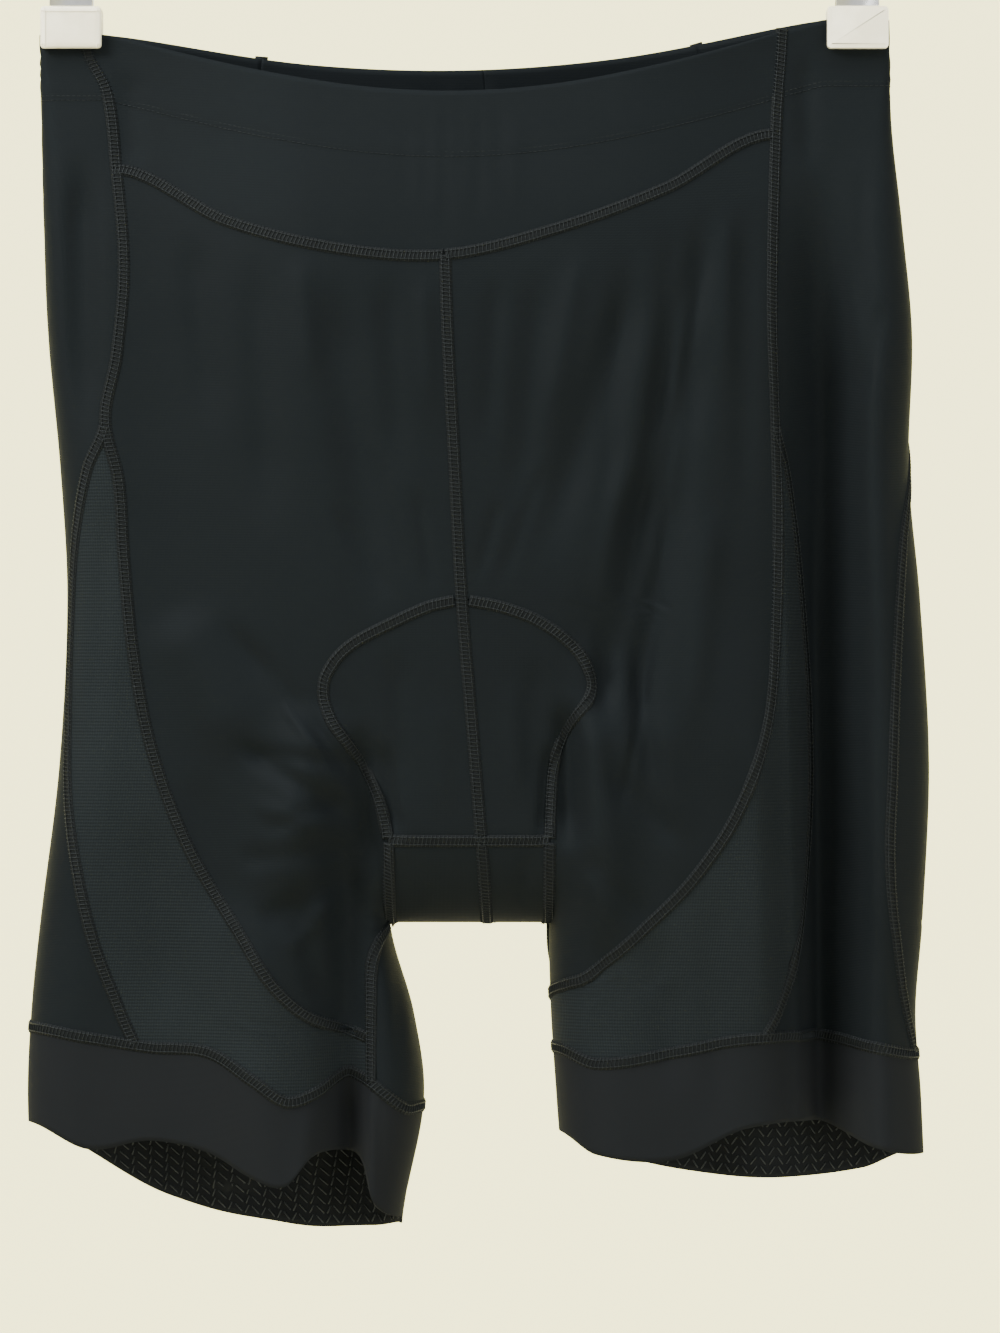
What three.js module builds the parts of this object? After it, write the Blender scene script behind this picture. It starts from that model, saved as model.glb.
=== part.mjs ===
// Cycling shorts hung flat by the waist from a clip hanger, with the front towards -Y.
// Millimetres, +Z up. The origin is under the crown of the hanger's hook, where a rail carries it.
// Heights in the cloth are drops: how far a point lies below the corners of the waist.
import * as THREE from 'three';

// Driving sizes of the garment
const cloth = 1.5; // thickness of every cloth wall
const seamGap = 0.4; // between two cut edges that a seam joins
const crotchDrop = 400; // lowest line of the cloth between the legs
const gussetTop = 257.4; // where the front gusset meets the centre seam
const gussetFoot = 363; // seam between the front and rear gussets
const rearGussetTop = 318; // top of the rear gusset on the back
const crotchRound = 44; // how far above the crotch the cloth keeps turning under
const legRound = 30; // how far in from a leg's inner edge the cloth keeps turning
const leastStep = 1.2; // between two rows that crowd at a panel's end

// Driving sizes of the hanger
const waistZ = -128; // height of the waist's corners, drop 0
const barRadius = 2.5;
const barHalf = 212;
const barDrop = -47;
const wireRadius = 1.75;
const hookRadius = 19; // inside of the hook
const padWidth = 27;
const padTop = -5.5; // drops of the grip pads' two ends
const padFoot = 13;
const padThick = 5;
const jawWidth = 19;
const jawThick = 1.2;
const touchGap = 0.3; // between hard pieces that meet
const clipX = 174.2; // middle of each clip

// Reads a short table with named columns.
function table(columns, rows) {
  return rows.map((row) => Object.fromEntries(columns.map((name, i) => [name, row[i]])));
}

// Smooth value of one column, where key names the column that the rows are sorted by.
function lookUp(rows, key, name, at) {
  const last = rows.length - 1;
  if (at <= rows[0][key]) return rows[0][name];
  if (at >= rows[last][key]) return rows[last][name];
  let i = 0;
  while (rows[i + 1][key] < at) i += 1;
  const near = rows[i];
  const far = rows[i + 1];
  const span = far[key] - near[key];
  const slopeNear = i > 0 ? (far[name] - rows[i - 1][name]) / (far[key] - rows[i - 1][key]) : 0;
  const slopeFar = i + 1 < last ? (rows[i + 2][name] - near[name]) / (rows[i + 2][key] - near[key]) : 0;
  const t = (at - near[key]) / span;
  const t2 = t * t;
  const t3 = t2 * t;
  return (2 * t3 - 3 * t2 + 1) * near[name] + (t3 - 2 * t2 + t) * span * slopeNear
    + (3 * t2 - 2 * t3) * far[name] + (t3 - t2) * span * slopeFar;
}

// Sections of the garment: X of the sides, of the legs' inner edges and of the centre seam on the
// front and on the seat, then how round the side is (its half thickness) and how much fuller the
// middle is than the side.
const sections = table(
  ['drop', 'leftSide', 'leftInner', 'centre', 'seat', 'rightInner', 'rightSide', 'sideHalf', 'middleHalf'],
  [
    [-5, -188, -33, -10, 8, 37.5, 188, 1.9, 14],
    [16, -188, -33, -10, 8, 37.5, 188.5, 1.9, 15],
    [48, -187.5, -33, -9.5, 12, 37.5, 189.5, 6, 16],
    [90, -186.5, -33, -8.6, 20, 37.5, 194, 13, 17],
    [140, -184.5, -33, -7.2, 29, 37.5, 198.5, 18, 17],
    [200, -179, -33, -4, 36, 37.5, 197, 20, 16],
    [257, -176, -33, -1, 35, 37.5, 202, 21, 15],
    [330, -179.5, -33, 5, 21, 37.5, 206, 22, 13],
    [400, -188, -33, 10, 10, 37.5, 203, 22, 10],
    [440, -192, -22.5, 10, 10, 38.5, 200, 22, 8],
    [478, -193.5, -18, 10, 10, 41, 202.5, 22, 8],
    [540, -191, -28, 10, 10, 45, 204.5, 22, 8],
  ],
);

// Largest folds. Each runs between two points on one layer; depth is inwards, a ridge is negative.
const folds = table(
  ['layer', 'topX', 'topDrop', 'footX', 'footDrop', 'halfWidth', 'depth'],
  [
    ['front', 158, 40, 160, 560, 15, 23],
    ['front', 184, 90, 183, 560, 12, -5],
    ['front', 120, 250, 130, 560, 22, -6],
    ['front', -171, 55, -168, 200, 8, 6],
    ['front', -50, 330, -52, 560, 10.5, 13],
    ['front', -95, 380, -80, 560, 20, -8],
    ['front', -62, 300, -84, 400, 14, -9],
    ['front', 62, 290, 60, 420, 13, -10],
    ['front', 44, 300, 47, 372, 6, 7],
    ['front', -46, 310, -40, 385, 6, 7],
    ['front', 105, 130, 68, 330, 9, 5],
    ['front', 78, 110, 30, 250, 9, 4],
    ['front', -60, 110, -35, 270, 10, 4],
    ['front', -130, 260, -95, 330, 14, -4],
    ['back', 0, 90, 5, 330, 15, 6],
    ['back', 90, 250, 70, 400, 12, 7],
    ['back', -90, 250, -75, 420, 12, 7],
    ['back', 130, 330, 128, 560, 18, 9],
    ['back', -130, 330, -125, 560, 16, -7],
    ['back', -60, 440, -70, 560, 14, 8],
  ],
);

// Seams on the front layer, as X at each drop. They meet above the mesh inserts and part there.
const seamRows = (rows) => table(['drop', 'x'], rows);
const leftFrontSeam = seamRows([
  [0, -168], [15, -167], [32, -158.5], [65, -154], [110, -150], [150, -153], [178, -158],
  [205, -152], [240, -149.6], [280, -145.6], [323, -137.3], [367, -120.6], [403, -98.6],
  [427, -83], [441, -67], [447, -50], [451, -41],
]);
const rightFrontSeam = seamRows([
  [0, 141], [46, 138], [125, 135.5], [178, 136.8], [222, 138], [275, 136.8], [315, 132.4],
  [352, 119], [381, 99.4], [403, 77.4], [418, 60], [426, 49.5], [429.5, 40],
]);
const leftInsertSeam = seamRows([
  [178, -158], [200, -166], [231, -171.5], [266, -173.5], [301, -174.5], [345, -174.5],
  [381, -169.5], [411, -162], [438, -151.4], [470, -140],
]);
const rightInsertSeam = seamRows([
  [178, 136.8], [200, 142], [231, 146.5], [266, 150], [301, 152.5], [345, 153], [389, 150],
  [416, 145.6], [438, 138], [470, 124],
]);
const leftGussetSeam = seamRows([
  [257.4, -3], [260, -14], [266, -28], [277, -49], [288, -59], [298, -61.5], [310, -58],
  [320, -51], [332, -43], [346, -37], [363, -33.5], [400, -33],
]);
const rightGussetSeam = seamRows([
  [257.4, 1], [260, 14], [266, 31], [277, 47], [288, 54.5], [299, 55.5], [310, 48], [320, 42],
  [332, 39], [346, 38], [363, 37.5], [400, 37.5],
]);

// Seams between side and back panels: cloth distance behind the outer edge at each drop.
const sideSeamRows = (rows) => table(['drop', 'behind'], rows);
const leftSideSeam = sideSeamRows([[0, 100], [100, 92], [200, 82], [300, 75], [400, 70], [490, 66]]);
const rightSideSeam = sideSeamRows([
  [0, 88], [60, 64], [110, 40], [160, 20], [195, 2], [222, -12], [245, -19], [280, -25.5],
  [310, -29.5], [337, -31.3], [366, -31.5], [394, -28], [423, -20], [452, -10], [470, -5],
  [490, -2],
]);

// Cuffs: drop of their upper seam and of the hem, across each leg, on its front and its back.
const cuffRows = (rows) => table(['x', 'seam', 'hem'], rows);
const cuffs = {
  left: {
    front: cuffRows([
      [-193, 446, 488], [-165, 450, 499], [-138, 454, 495], [-112, 456, 500], [-92, 468, 511],
      [-78, 477, 514], [-66, 474, 501], [-52, 465, 500], [-45, 467, 504], [-40, 470, 522],
      [-26, 481, 531], [-20, 481, 532],
    ]),
    back: cuffRows([
      [-193, 446, 488], [-170, 456, 502], [-130, 472, 525], [-80, 482, 536], [-40, 482, 537], [-20, 481, 532],
    ]),
  },
  right: {
    front: cuffRows([
      [41, 455, 492], [58, 461, 501], [92, 456, 503], [124, 450, 489], [157, 450, 488],
      [180, 454, 498], [202, 458, 502],
    ]),
    back: cuffRows([[41, 455, 492], [80, 464, 509], [135, 467, 515], [178, 463, 511], [202, 458, 502]]),
  },
};

// Waist and yoke edges
const waistHalf = 160;
const waistSag = { front: 30, back: 17 };
const waistTilt = 3.3; // the left corner hangs lower than the middle by this, the right one higher
function waistDrop(x, layer) {
  const across = Math.max(-1, Math.min(1, x / waistHalf));
  return waistTilt * (1 - across) + waistSag[layer] * (1 - across * across) ** 1.25;
}
const yokeRows = table(['x', 'drop'], [
  [-155, 67], [-104, 91], [-59, 103], [-9, 106.5], [40, 95], [88, 77], [137, 51.5],
]);
const yokeDrop = (x) => lookUp(yokeRows, 'x', 'drop', x);

// Quarter round from 0 at an edge to 1 at the reach of its rounding.
function round(distance, reach) {
  const t = Math.min(1, Math.max(0, distance / reach));
  return Math.sqrt(1 - (1 - t) ** 2);
}

// Smooth step from 0 to 1.
function ease(t) {
  const s = Math.min(1, Math.max(0, t));
  return s * s * (3 - 2 * s);
}

function foldDepth(layer, x, drop) {
  let depth = 0;
  for (const fold of folds) {
    if (fold.layer !== layer) continue;
    const runX = fold.footX - fold.topX;
    const runDrop = fold.footDrop - fold.topDrop;
    const t = ((x - fold.topX) * runX + (drop - fold.topDrop) * runDrop) / (runX ** 2 + runDrop ** 2);
    if (t <= 0 || t >= 1) continue;
    const off = Math.hypot(x - fold.topX - t * runX, drop - fold.topDrop - t * runDrop);
    const ends = ease(Math.min(1, t * 4)) * (fold.footDrop > 500 ? 1 : ease(Math.min(1, (1 - t) * 3)));
    depth += fold.depth * ends * Math.exp(-((off / fold.halfWidth) ** 2));
  }
  return depth;
}

// Depth of one layer of cloth at a place in the front view; front is -Y.
function clothY(side, layer, x, drop) {
  const get = (name) => lookUp(sections, 'drop', name, drop);
  const outer = side === 'left' ? x - get('leftSide') : get('rightSide') - x;
  const sideHalf = get('sideHalf');
  let notch = drop < crotchDrop ? crotchDrop - drop : 0;
  const inner = side === 'left' ? get('leftInner') - x : x - get('rightInner');
  if (inner > 0) notch = Math.hypot(notch, inner * crotchRound / legRound);
  const turn = round(outer, sideHalf * 1.15) * round(notch, crotchRound);
  const full = sideHalf + get('middleHalf') * ease((outer - 32) / 90);
  const out = layer === 'front' ? -1 : 1;
  return out * turn * (full - foldDepth(layer, x, drop) * ease(outer / 22));
}

// One level of one half: points from the front's inner end, round the outer side, to the back's.
const samplesPerLayer = 72;
const levelCache = new Map();
function level(side, drop) {
  const key = `${side}${drop.toFixed(3)}`;
  if (levelCache.has(key)) return levelCache.get(key);
  const outerX = lookUp(sections, 'drop', side === 'left' ? 'leftSide' : 'rightSide', drop);
  const isLeg = drop >= crotchDrop;
  const innerName = side === 'left' ? 'leftInner' : 'rightInner';
  const frontX = lookUp(sections, 'drop', isLeg ? innerName : 'centre', drop);
  const backX = lookUp(sections, 'drop', isLeg ? innerName : 'seat', drop);
  const points = [];
  for (let i = -samplesPerLayer; i <= samplesPerLayer; i += 1) {
    const f = Math.abs(i) / samplesPerLayer;
    const towards = isLeg ? (1 - Math.cos(Math.PI * f)) / 2 : 1 - Math.cos((Math.PI / 2) * f);
    const x = outerX + ((i < 0 ? frontX : backX) - outerX) * towards;
    points.push({ x, y: clothY(side, i < 0 ? 'front' : 'back', x, drop), along: 0 });
  }
  for (let i = 1; i < points.length; i += 1) {
    const step = Math.hypot(points[i].x - points[i - 1].x, points[i].y - points[i - 1].y);
    points[i].along = points[i - 1].along + step;
  }
  const outer = points[samplesPerLayer].along;
  const made = { drop, isLeg, points, total: points.at(-1).along, outer };
  levelCache.set(key, made);
  return made;
}

// Point at a distance along a level; a leg's level is closed, so it wraps.
function pointOn(row, along) {
  const wrapped = ((along % row.total) + row.total) % row.total;
  const at = row.isLeg ? wrapped : Math.min(row.total, Math.max(0, along));
  let low = 0;
  let high = row.points.length - 1;
  while (high - low > 1) {
    const middle = (low + high) >> 1;
    if (row.points[middle].along <= at) low = middle;
    else high = middle;
  }
  const a = row.points[low];
  const b = row.points[high];
  const t = (at - a.along) / (b.along - a.along);
  return { x: a.x + (b.x - a.x) * t, y: a.y + (b.y - a.y) * t, layer: at < row.outer ? 'front' : 'back' };
}

// Distance along a level at which a layer has this X.
function alongAt(row, layer, x) {
  const first = layer === 'front' ? 0 : samplesPerLayer;
  for (let i = first; i < first + samplesPerLayer; i += 1) {
    const a = row.points[i];
    const b = row.points[i + 1];
    const isBetween = (x - a.x) * (x - b.x) <= 0 && a.x !== b.x;
    if (isBetween) return a.along + (b.along - a.along) * (x - a.x) / (b.x - a.x);
  }
  const innerEnd = row.points[layer === 'front' ? 0 : 2 * samplesPerLayer];
  const nearInner = Math.abs(x - innerEnd.x) < Math.abs(x - row.points[samplesPerLayer].x);
  if (!nearInner) return row.outer;
  return layer === 'front' ? 0 : row.total;
}

const onFront = (rows) => (row) => alongAt(row, 'front', lookUp(rows, 'drop', 'x', row.drop));
const behindSide = (rows) => (row) => row.outer + lookUp(rows, 'drop', 'behind', row.drop);

// Closes a grid of outer points into a wall; each point has its outward normal.
function wallGeometry(grid, isRing) {
  const rows = grid.length;
  const columns = grid[0].length;
  const positions = [];
  for (const line of grid) for (const p of line) positions.push(p.x, p.y, p.z);
  for (const line of grid) {
    for (const p of line) positions.push(p.x - p.nx * cloth, p.y - p.ny * cloth, p.z - p.nz * cloth);
  }
  const inside = rows * columns;
  const index = [];
  const quad = (a, b, c, d) => index.push(a, b, c, a, c, d);
  const spans = isRing ? columns : columns - 1;
  for (let r = 0; r < rows - 1; r += 1) {
    for (let c = 0; c < spans; c += 1) {
      const next = (c + 1) % columns;
      const a = r * columns + c;
      const b = r * columns + next;
      const d = a + columns;
      const e = b + columns;
      quad(a, d, e, b);
      quad(inside + a, inside + b, inside + e, inside + d);
    }
  }
  for (let c = 0; c < spans; c += 1) {
    const next = (c + 1) % columns;
    const foot = (rows - 1) * columns;
    quad(c, next, inside + next, inside + c);
    quad(foot + next, foot + c, inside + foot + c, inside + foot + next);
  }
  if (!isRing) {
    for (let r = 0; r < rows - 1; r += 1) {
      const a = r * columns;
      const b = a + columns - 1;
      quad(a, inside + a, inside + a + columns, a + columns);
      quad(b, b + columns, inside + b + columns, inside + b);
    }
  }
  const geometry = new THREE.BufferGeometry();
  geometry.setAttribute('position', new THREE.Float32BufferAttribute(positions, 3));
  geometry.setIndex(index);
  geometry.computeVertexNormals();
  return geometry;
}

// Drops of the rows of the walls. Panels that share a seam share the rows beside it.
const commonRows = [
  14, 20, 26, 33, 44, 58, 75, 94, 114, 135, 157, 178, 190, 203, 220, 238, 257.4, 276, 295, 314,
  333, 352, 370, 385, 400, 408, 416, 424, 428, 432, 436, 441, 445, 449, 456, 464,
];
const gussetRows = [259, 260.2, 262.5, 266, 271, 282, 288, 301, 307, 323];
const insertRows = [443, 447];
const seatRows = [319.6, 322, 327, 342, 362, 393];

const counted = (count) => Array.from({ length: count }, (_, i) => i);
const inside = (rows, from, to) => rows.filter((drop) => drop > from && drop < to);

// Rows at given drops, which crowd together where the panel's edge crosses them.
function atRows(rows) {
  const last = rows.length + 1;
  return (number, top, foot) => {
    if (number < 0) return top + leastStep * number;
    if (number > last) return foot + leastStep * (number - last);
    const all = [top, ...rows, foot];
    const i = Math.min(last - 1, Math.floor(number));
    const wanted = all[i] + (all[i + 1] - all[i]) * (number - i);
    return Math.min(foot - leastStep * (last - number), Math.max(top + leastStep * number, wanted));
  };
}

// Rows that share a height out evenly.
const atShares = (count) => (number, top, foot) => top + (foot - top) * (number / count);

// Grid of surface points with normals, from a function of a column and a row number.
function sampleGrid(columns, rows, place) {
  const step = 0.05;
  return rows.map((row) => columns.map((column) => {
    const p = place(column, row);
    const a = place(column - step, row);
    const b = place(column + step, row);
    const c = place(column, row - step);
    const d = place(column, row + step);
    const over = new THREE.Vector3(b.x - a.x, b.y - a.y, b.z - a.z);
    const under = new THREE.Vector3(d.x - c.x, d.y - c.y, d.z - c.z);
    const normal = under.cross(over).normalize();
    return { ...p, nx: normal.x, ny: normal.y, nz: normal.z };
  }));
}

// Half a seam's gap measured along a level, for a seam that slants by so much per drop.
const slantGap = (slope) => (seamGap / 2) * Math.min(9, Math.hypot(1, slope));

// Points of a wall between two seams on each level, and between a top edge and a foot edge.
const levelStep = 0.25;
function wallPlace({ side, spread, top, foot, dropAt, guess }) {
  return (column, number) => {
    let drop = guess;
    let point;
    const passes = 6;
    for (let pass = 1; pass <= passes; pass += 1) {
      const below = Math.floor(drop / levelStep);
      const t = drop / levelStep - below;
      const a = spread(side, below, column);
      const b = spread(side, below + 1, column);
      point = { x: a.x + (b.x - a.x) * t, y: a.y + (b.y - a.y) * t, z: waistZ - drop };
      const topDrop = top(point.x, a.layer) + seamGap / 2;
      const footDrop = foot(point.x, a.layer) - seamGap / 2;
      if (pass < passes) drop = dropAt(number, topDrop, footDrop);
    }
    return point;
  };
}

// Spreads a panel's columns evenly over the cloth between its two seams.
function betweenSeams(from, to, columns) {
  const cache = new Map();
  return (side, number, column) => {
    const row = level(side, number * levelStep);
    if (!cache.has(number)) {
      const next = level(side, (number + 1) * levelStep);
      const slant = (seam) => slantGap((seam(next) - seam(row)) / levelStep);
      cache.set(number, [from(row) + slant(from), to(row) - slant(to)]);
    }
    const [near, far] = cache.get(number);
    const share = side === 'left' ? 1 - column / columns : column / columns;
    return pointOn(row, near + (far - near) * share);
  };
}

// Spreads a ring's columns so that they continue those of the panels above it.
function belowPanels(cuts) {
  const count = cuts.reduce((sum, { columns }) => sum + columns, 0);
  return (side, number, column) => {
    const row = level(side, number * levelStep);
    let at = ((side === 'left' ? -column : column) % count + count) % count;
    let i = 0;
    while (at >= cuts[i].columns) {
      at -= cuts[i].columns;
      i += 1;
    }
    const near = cuts[i].from(row);
    return pointOn(row, near + (cuts[i].to(row) - near) * (at / cuts[i].columns));
  };
}

const part = new THREE.Group();

function add(name, geometry, material) {
  const mesh = new THREE.Mesh(geometry, new THREE.MeshStandardMaterial(material));
  mesh.name = name;
  part.add(mesh);
  return mesh;
}

const knit = { color: 0x1b1e20, roughness: 0.72, metalness: 0 };
const meshKnit = { color: 0x1e2123, roughness: 0.85, metalness: 0 };
const cuffKnit = { color: 0x211f20, roughness: 0.8, metalness: 0 };
const padPlastic = { color: 0xe9e6da, roughness: 0.45, metalness: 0 };
const chrome = { color: 0xc8cacc, roughness: 0.18, metalness: 1 };

const cuffEdge = (side, name) => (x, layer) => lookUp(cuffs[side][layer], 'x', name, x);

// Inner edge of the front panels: centre seam, gusset seam, then the inseam on the leg.
const leftInseam = seamRows([[400, -33.5], [408, -37.5], [416, -40.3], [424, -41], [432, -41], [560, -41]]);
const inseamBehind = 12; // the other leg's inseam lies this far behind its inner edge
const rightInseam = (row) => -inseamBehind * ease((row.drop - crotchDrop) / 24);
const innerEdge = {
  left: (row) => {
    if (row.drop < gussetTop) return 0;
    return onFront(row.isLeg ? leftInseam : leftGussetSeam)(row);
  },
  right: (row) => {
    if (row.drop < gussetTop) return 0;
    return row.isLeg ? rightInseam(row) : onFront(rightGussetSeam)(row);
  },
};

// Seam between front panel and mesh insert; on the right it turns round the leg's inner edge.
const turnStart = 424;
const turnEnd = 434;
const frontSeam = {
  left: onFront(leftFrontSeam),
  right: (row) => {
    if (row.drop <= turnStart) return onFront(rightFrontSeam)(row);
    const t = Math.min(1, (row.drop - turnStart) / (turnEnd - turnStart));
    const before = alongAt(row, 'front', lookUp(rightFrontSeam, 'drop', 'x', turnStart));
    return before + (-inseamBehind - before) * t;
  },
};
const seamsPart = 178; // drop where the side seam splits around the mesh insert
const insertSeam = { left: leftInsertSeam, right: rightInsertSeam };
const sideFront = (side) => (row) => (
  row.drop < seamsPart ? frontSeam[side](row) : onFront(insertSeam[side])(row)
);
const sideBack = { left: behindSide(leftSideSeam), right: behindSide(rightSideSeam) };

// Rear gusset's side seams on the back.
const rearGussetSeam = {
  left: seamRows([[318, 22], [321, 9], [328, -6], [338, -19], [350, -28], [362, -33], [400, -33]]),
  right: seamRows([[318, 26], [323, 31.5], [332, 35.5], [346, 37.5], [400, 37.5]]),
};
const backInner = {
  left: (row) => {
    if (row.drop < rearGussetTop) return row.total;
    if (row.isLeg) return row.total + onFront(leftInseam)(row);
    return alongAt(row, 'back', lookUp(rearGussetSeam.left, 'drop', 'x', row.drop));
  },
  right: (row) => {
    if (row.drop < rearGussetTop) return row.total;
    if (row.isLeg) return row.total + rightInseam(row);
    return alongAt(row, 'back', lookUp(rearGussetSeam.right, 'drop', 'x', row.drop));
  },
};

function addPanel(name, material, side, { from, to, top, foot, rows, columns }) {
  const spread = betweenSeams(from, to, columns);
  const place = wallPlace({ side, spread, top, foot, dropAt: atRows(rows), guess: rows[0] });
  const grid = sampleGrid(counted(columns + 1), counted(rows.length + 2), place);
  add(name, wallGeometry(grid, false), material);
}

// Place across a piece between the centre line and one of its side seams, both as X at a drop.
function acrossHalf(side, share, centreAt, edgeAt, drop) {
  const centre = centreAt(drop);
  const edge = edgeAt(drop);
  const way = Math.sign(edge - centre);
  const slant = (line) => slantGap(line(drop + 0.5) - line(drop - 0.5));
  const near = centre + way * slant(centreAt);
  const far = edge - way * slant(edgeAt);
  return near + (far - near) * (side === 'left' ? 1 - share : share);
}

function addYoke() {
  const columns = 20;
  const rows = inside(commonRows, 10, 100);
  const dropAt = atRows(rows);
  const seamX = (seam, drop) => lookUp(seam, 'drop', 'x', drop);
  const place = (column, number) => {
    let drop = 50;
    let x = 0;
    for (let pass = 0; pass < 6; pass += 1) {
      const slant = (seam) => slantGap(seamX(seam, drop + 0.5) - seamX(seam, drop - 0.5));
      const left = seamX(leftFrontSeam, drop) + slant(leftFrontSeam);
      const right = seamX(rightFrontSeam, drop) - slant(rightFrontSeam);
      x = left + ((right - left) * column) / columns;
      drop = dropAt(number, waistDrop(x, 'front'), yokeDrop(x) - seamGap / 2);
    }
    return { x, y: clothY(x < 0 ? 'left' : 'right', 'front', x, drop), z: waistZ - drop };
  };
  const grid = sampleGrid(counted(columns + 1), counted(rows.length + 2), place);
  add('yoke_front', wallGeometry(grid, false), knit);
}

const gussetColumns = 4;
const frontCentre = (drop) => lookUp(sections, 'drop', 'centre', drop);
const seatCentre = (drop) => lookUp(sections, 'drop', 'seat', drop);

// Half of the front gusset, from the centre seam to its curved side seam.
function addFrontGusset(side, seam) {
  const foot = gussetFoot - seamGap / 2;
  const drops = [...inside([...commonRows, ...gussetRows], gussetTop, gussetFoot - 5), foot];
  drops.sort((a, b) => a - b);
  const seamX = (drop) => lookUp(seam, 'drop', 'x', drop);
  const place = (column, number) => {
    const i = Math.min(drops.length - 2, Math.max(0, Math.floor(number)));
    const drop = drops[i] + (drops[i + 1] - drops[i]) * (number - i);
    const x = acrossHalf(side, column / gussetColumns, frontCentre, seamX, drop);
    return { x, y: clothY(side, 'front', x, drop), z: waistZ - drop };
  };
  const grid = sampleGrid(counted(gussetColumns + 1), counted(drops.length), place);
  add(`gusset_front_${side}`, wallGeometry(grid, false), knit);
}

// Half of the rear gusset: it passes under the crotch from the front gusset's foot to the seat.
function addRearGusset(side) {
  const frontDrops = [gussetFoot + seamGap / 2, ...inside(commonRows, gussetFoot + 2, crotchDrop), 393];
  const backDrops = inside([...commonRows, ...seatRows], rearGussetTop, crotchDrop);
  frontDrops.sort((a, b) => a - b);
  backDrops.sort((a, b) => b - a);
  const reach = { front: crotchDrop - frontDrops[0], back: crotchDrop - backDrops.at(-1) };
  const turnOf = (layer, drop) => Math.acos(1 - (crotchDrop - drop) / reach[layer]);
  const turns = [
    ...frontDrops.map((drop) => -turnOf('front', drop)), 0, ...backDrops.map((drop) => turnOf('back', drop)),
  ];
  const innerX = (side === 'left' ? leftGussetSeam : rightGussetSeam).at(-1).x;
  const seatSeam = (drop) => lookUp(rearGussetSeam[side], 'drop', 'x', drop);
  const place = (column, number) => {
    const i = Math.min(turns.length - 2, Math.max(0, Math.floor(number)));
    const turn = turns[i] + (turns[i + 1] - turns[i]) * (number - i);
    const layer = turn < 0 ? 'front' : 'back';
    const drop = crotchDrop - reach[layer] * (1 - Math.cos(turn));
    const [centreAt, edgeAt] = turn < 0 ? [frontCentre, () => innerX] : [seatCentre, seatSeam];
    const x = acrossHalf(side, column / gussetColumns, centreAt, edgeAt, drop);
    return { x, y: clothY(side, layer, x, drop), z: waistZ - drop };
  };
  const grid = sampleGrid(counted(gussetColumns + 1), counted(turns.length), place);
  add(`gusset_rear_${side}`, wallGeometry(grid, false), knit);
}

function addCuff(side, panelsAbove) {
  const rowCount = 3;
  const place = wallPlace({
    side,
    spread: belowPanels(panelsAbove),
    top: cuffEdge(side, 'seam'),
    foot: cuffEdge(side, 'hem'),
    dropAt: atShares(rowCount),
    guess: 480,
  });
  const columns = panelsAbove.reduce((sum, panel) => sum + panel.columns, 0);
  const grid = sampleGrid(counted(columns), counted(rowCount + 1), place);
  add(`cuff_${side}`, wallGeometry(grid, true), cuffKnit);
}

function addSide(side) {
  const isLeft = side === 'left';
  const cuffSeam = cuffEdge(side, 'seam');
  const sorted = (rows) => [...rows].sort((a, b) => a - b);
  const frontFoot = isLeft ? 449.6 : 432.6;
  addPanel(`front_${side}`, knit, side, {
    from: innerEdge[side],
    to: frontSeam[side],
    top: yokeDrop,
    foot: () => frontFoot,
    rows: inside(sorted([...commonRows, ...gussetRows, ...insertRows]), 60, frontFoot - 1),
    columns: 10,
  });
  const insert = {
    from: frontSeam[side],
    to: onFront(insertSeam[side]),
    top: () => seamsPart + 4,
    foot: cuffSeam,
    rows: inside(sorted([...commonRows, ...insertRows]), seamsPart + 6, 470),
    columns: isLeft ? 11 : 8,
  };
  const sidePanel = {
    from: sideFront(side),
    to: sideBack[side],
    top: waistDrop,
    foot: cuffSeam,
    rows: inside(commonRows, 10, 450),
    columns: isLeft ? 8 : 10,
  };
  const back = {
    from: sideBack[side],
    to: backInner[side],
    top: waistDrop,
    foot: cuffSeam,
    rows: inside(sorted([...commonRows, ...seatRows]), 10, 470),
    columns: isLeft ? 10 : 11,
  };
  addPanel(`insert_${side}`, meshKnit, side, insert);
  addPanel(`side_${side}`, knit, side, sidePanel);
  addPanel(`back_${side}`, knit, side, back);
  addFrontGusset(side, isLeft ? leftGussetSeam : rightGussetSeam);
  addRearGusset(side);
  addCuff(side, [insert, sidePanel, back]);
}

// Turns an outline drawn in Y and Z into a solid that runs along X, centred on a place.
function alongX(shape, width, centreX) {
  const geometry = new THREE.ExtrudeGeometry(shape, { depth: width, bevelEnabled: false, curveSegments: 10 });
  geometry.translate(0, 0, -width / 2);
  geometry.rotateX(Math.PI / 2).rotateZ(Math.PI / 2);
  return geometry.translate(centreX, 0, 0);
}

const barZ = waistZ - barDrop;
const ringOuter = 4.6; // rings that grip the bar
const slidingTongue = { half: 1, reach: 21, width: 12 };
const jawPivot = { above: 4, half: 4, below: 5 }; // flat stretch of the jaws on the slider's tongue
const jawTip = { out: 8.5, up: 15, slant: 1 }; // the finger ends above the pivot
const pad = { corner: 2.2, bevel: 0.8, fromMiddle: 1.9 };

// A ring round the bar with a tongue that reaches up or down from it.
function ringOnBar(tongueHalf, reach, way) {
  const shape = new THREE.Shape();
  const meet = Math.asin(tongueHalf / ringOuter);
  const middle = (way * Math.PI) / 2;
  shape.absarc(0, barZ, ringOuter, middle + meet, middle - meet + 2 * Math.PI, false);
  shape.lineTo(way * tongueHalf, barZ + way * reach);
  shape.lineTo(-way * tongueHalf, barZ + way * reach);
  shape.closePath();
  const hole = new THREE.Path();
  hole.absarc(0, barZ, barRadius + touchGap, 0, 2 * Math.PI, true);
  shape.holes.push(hole);
  return shape;
}

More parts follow.
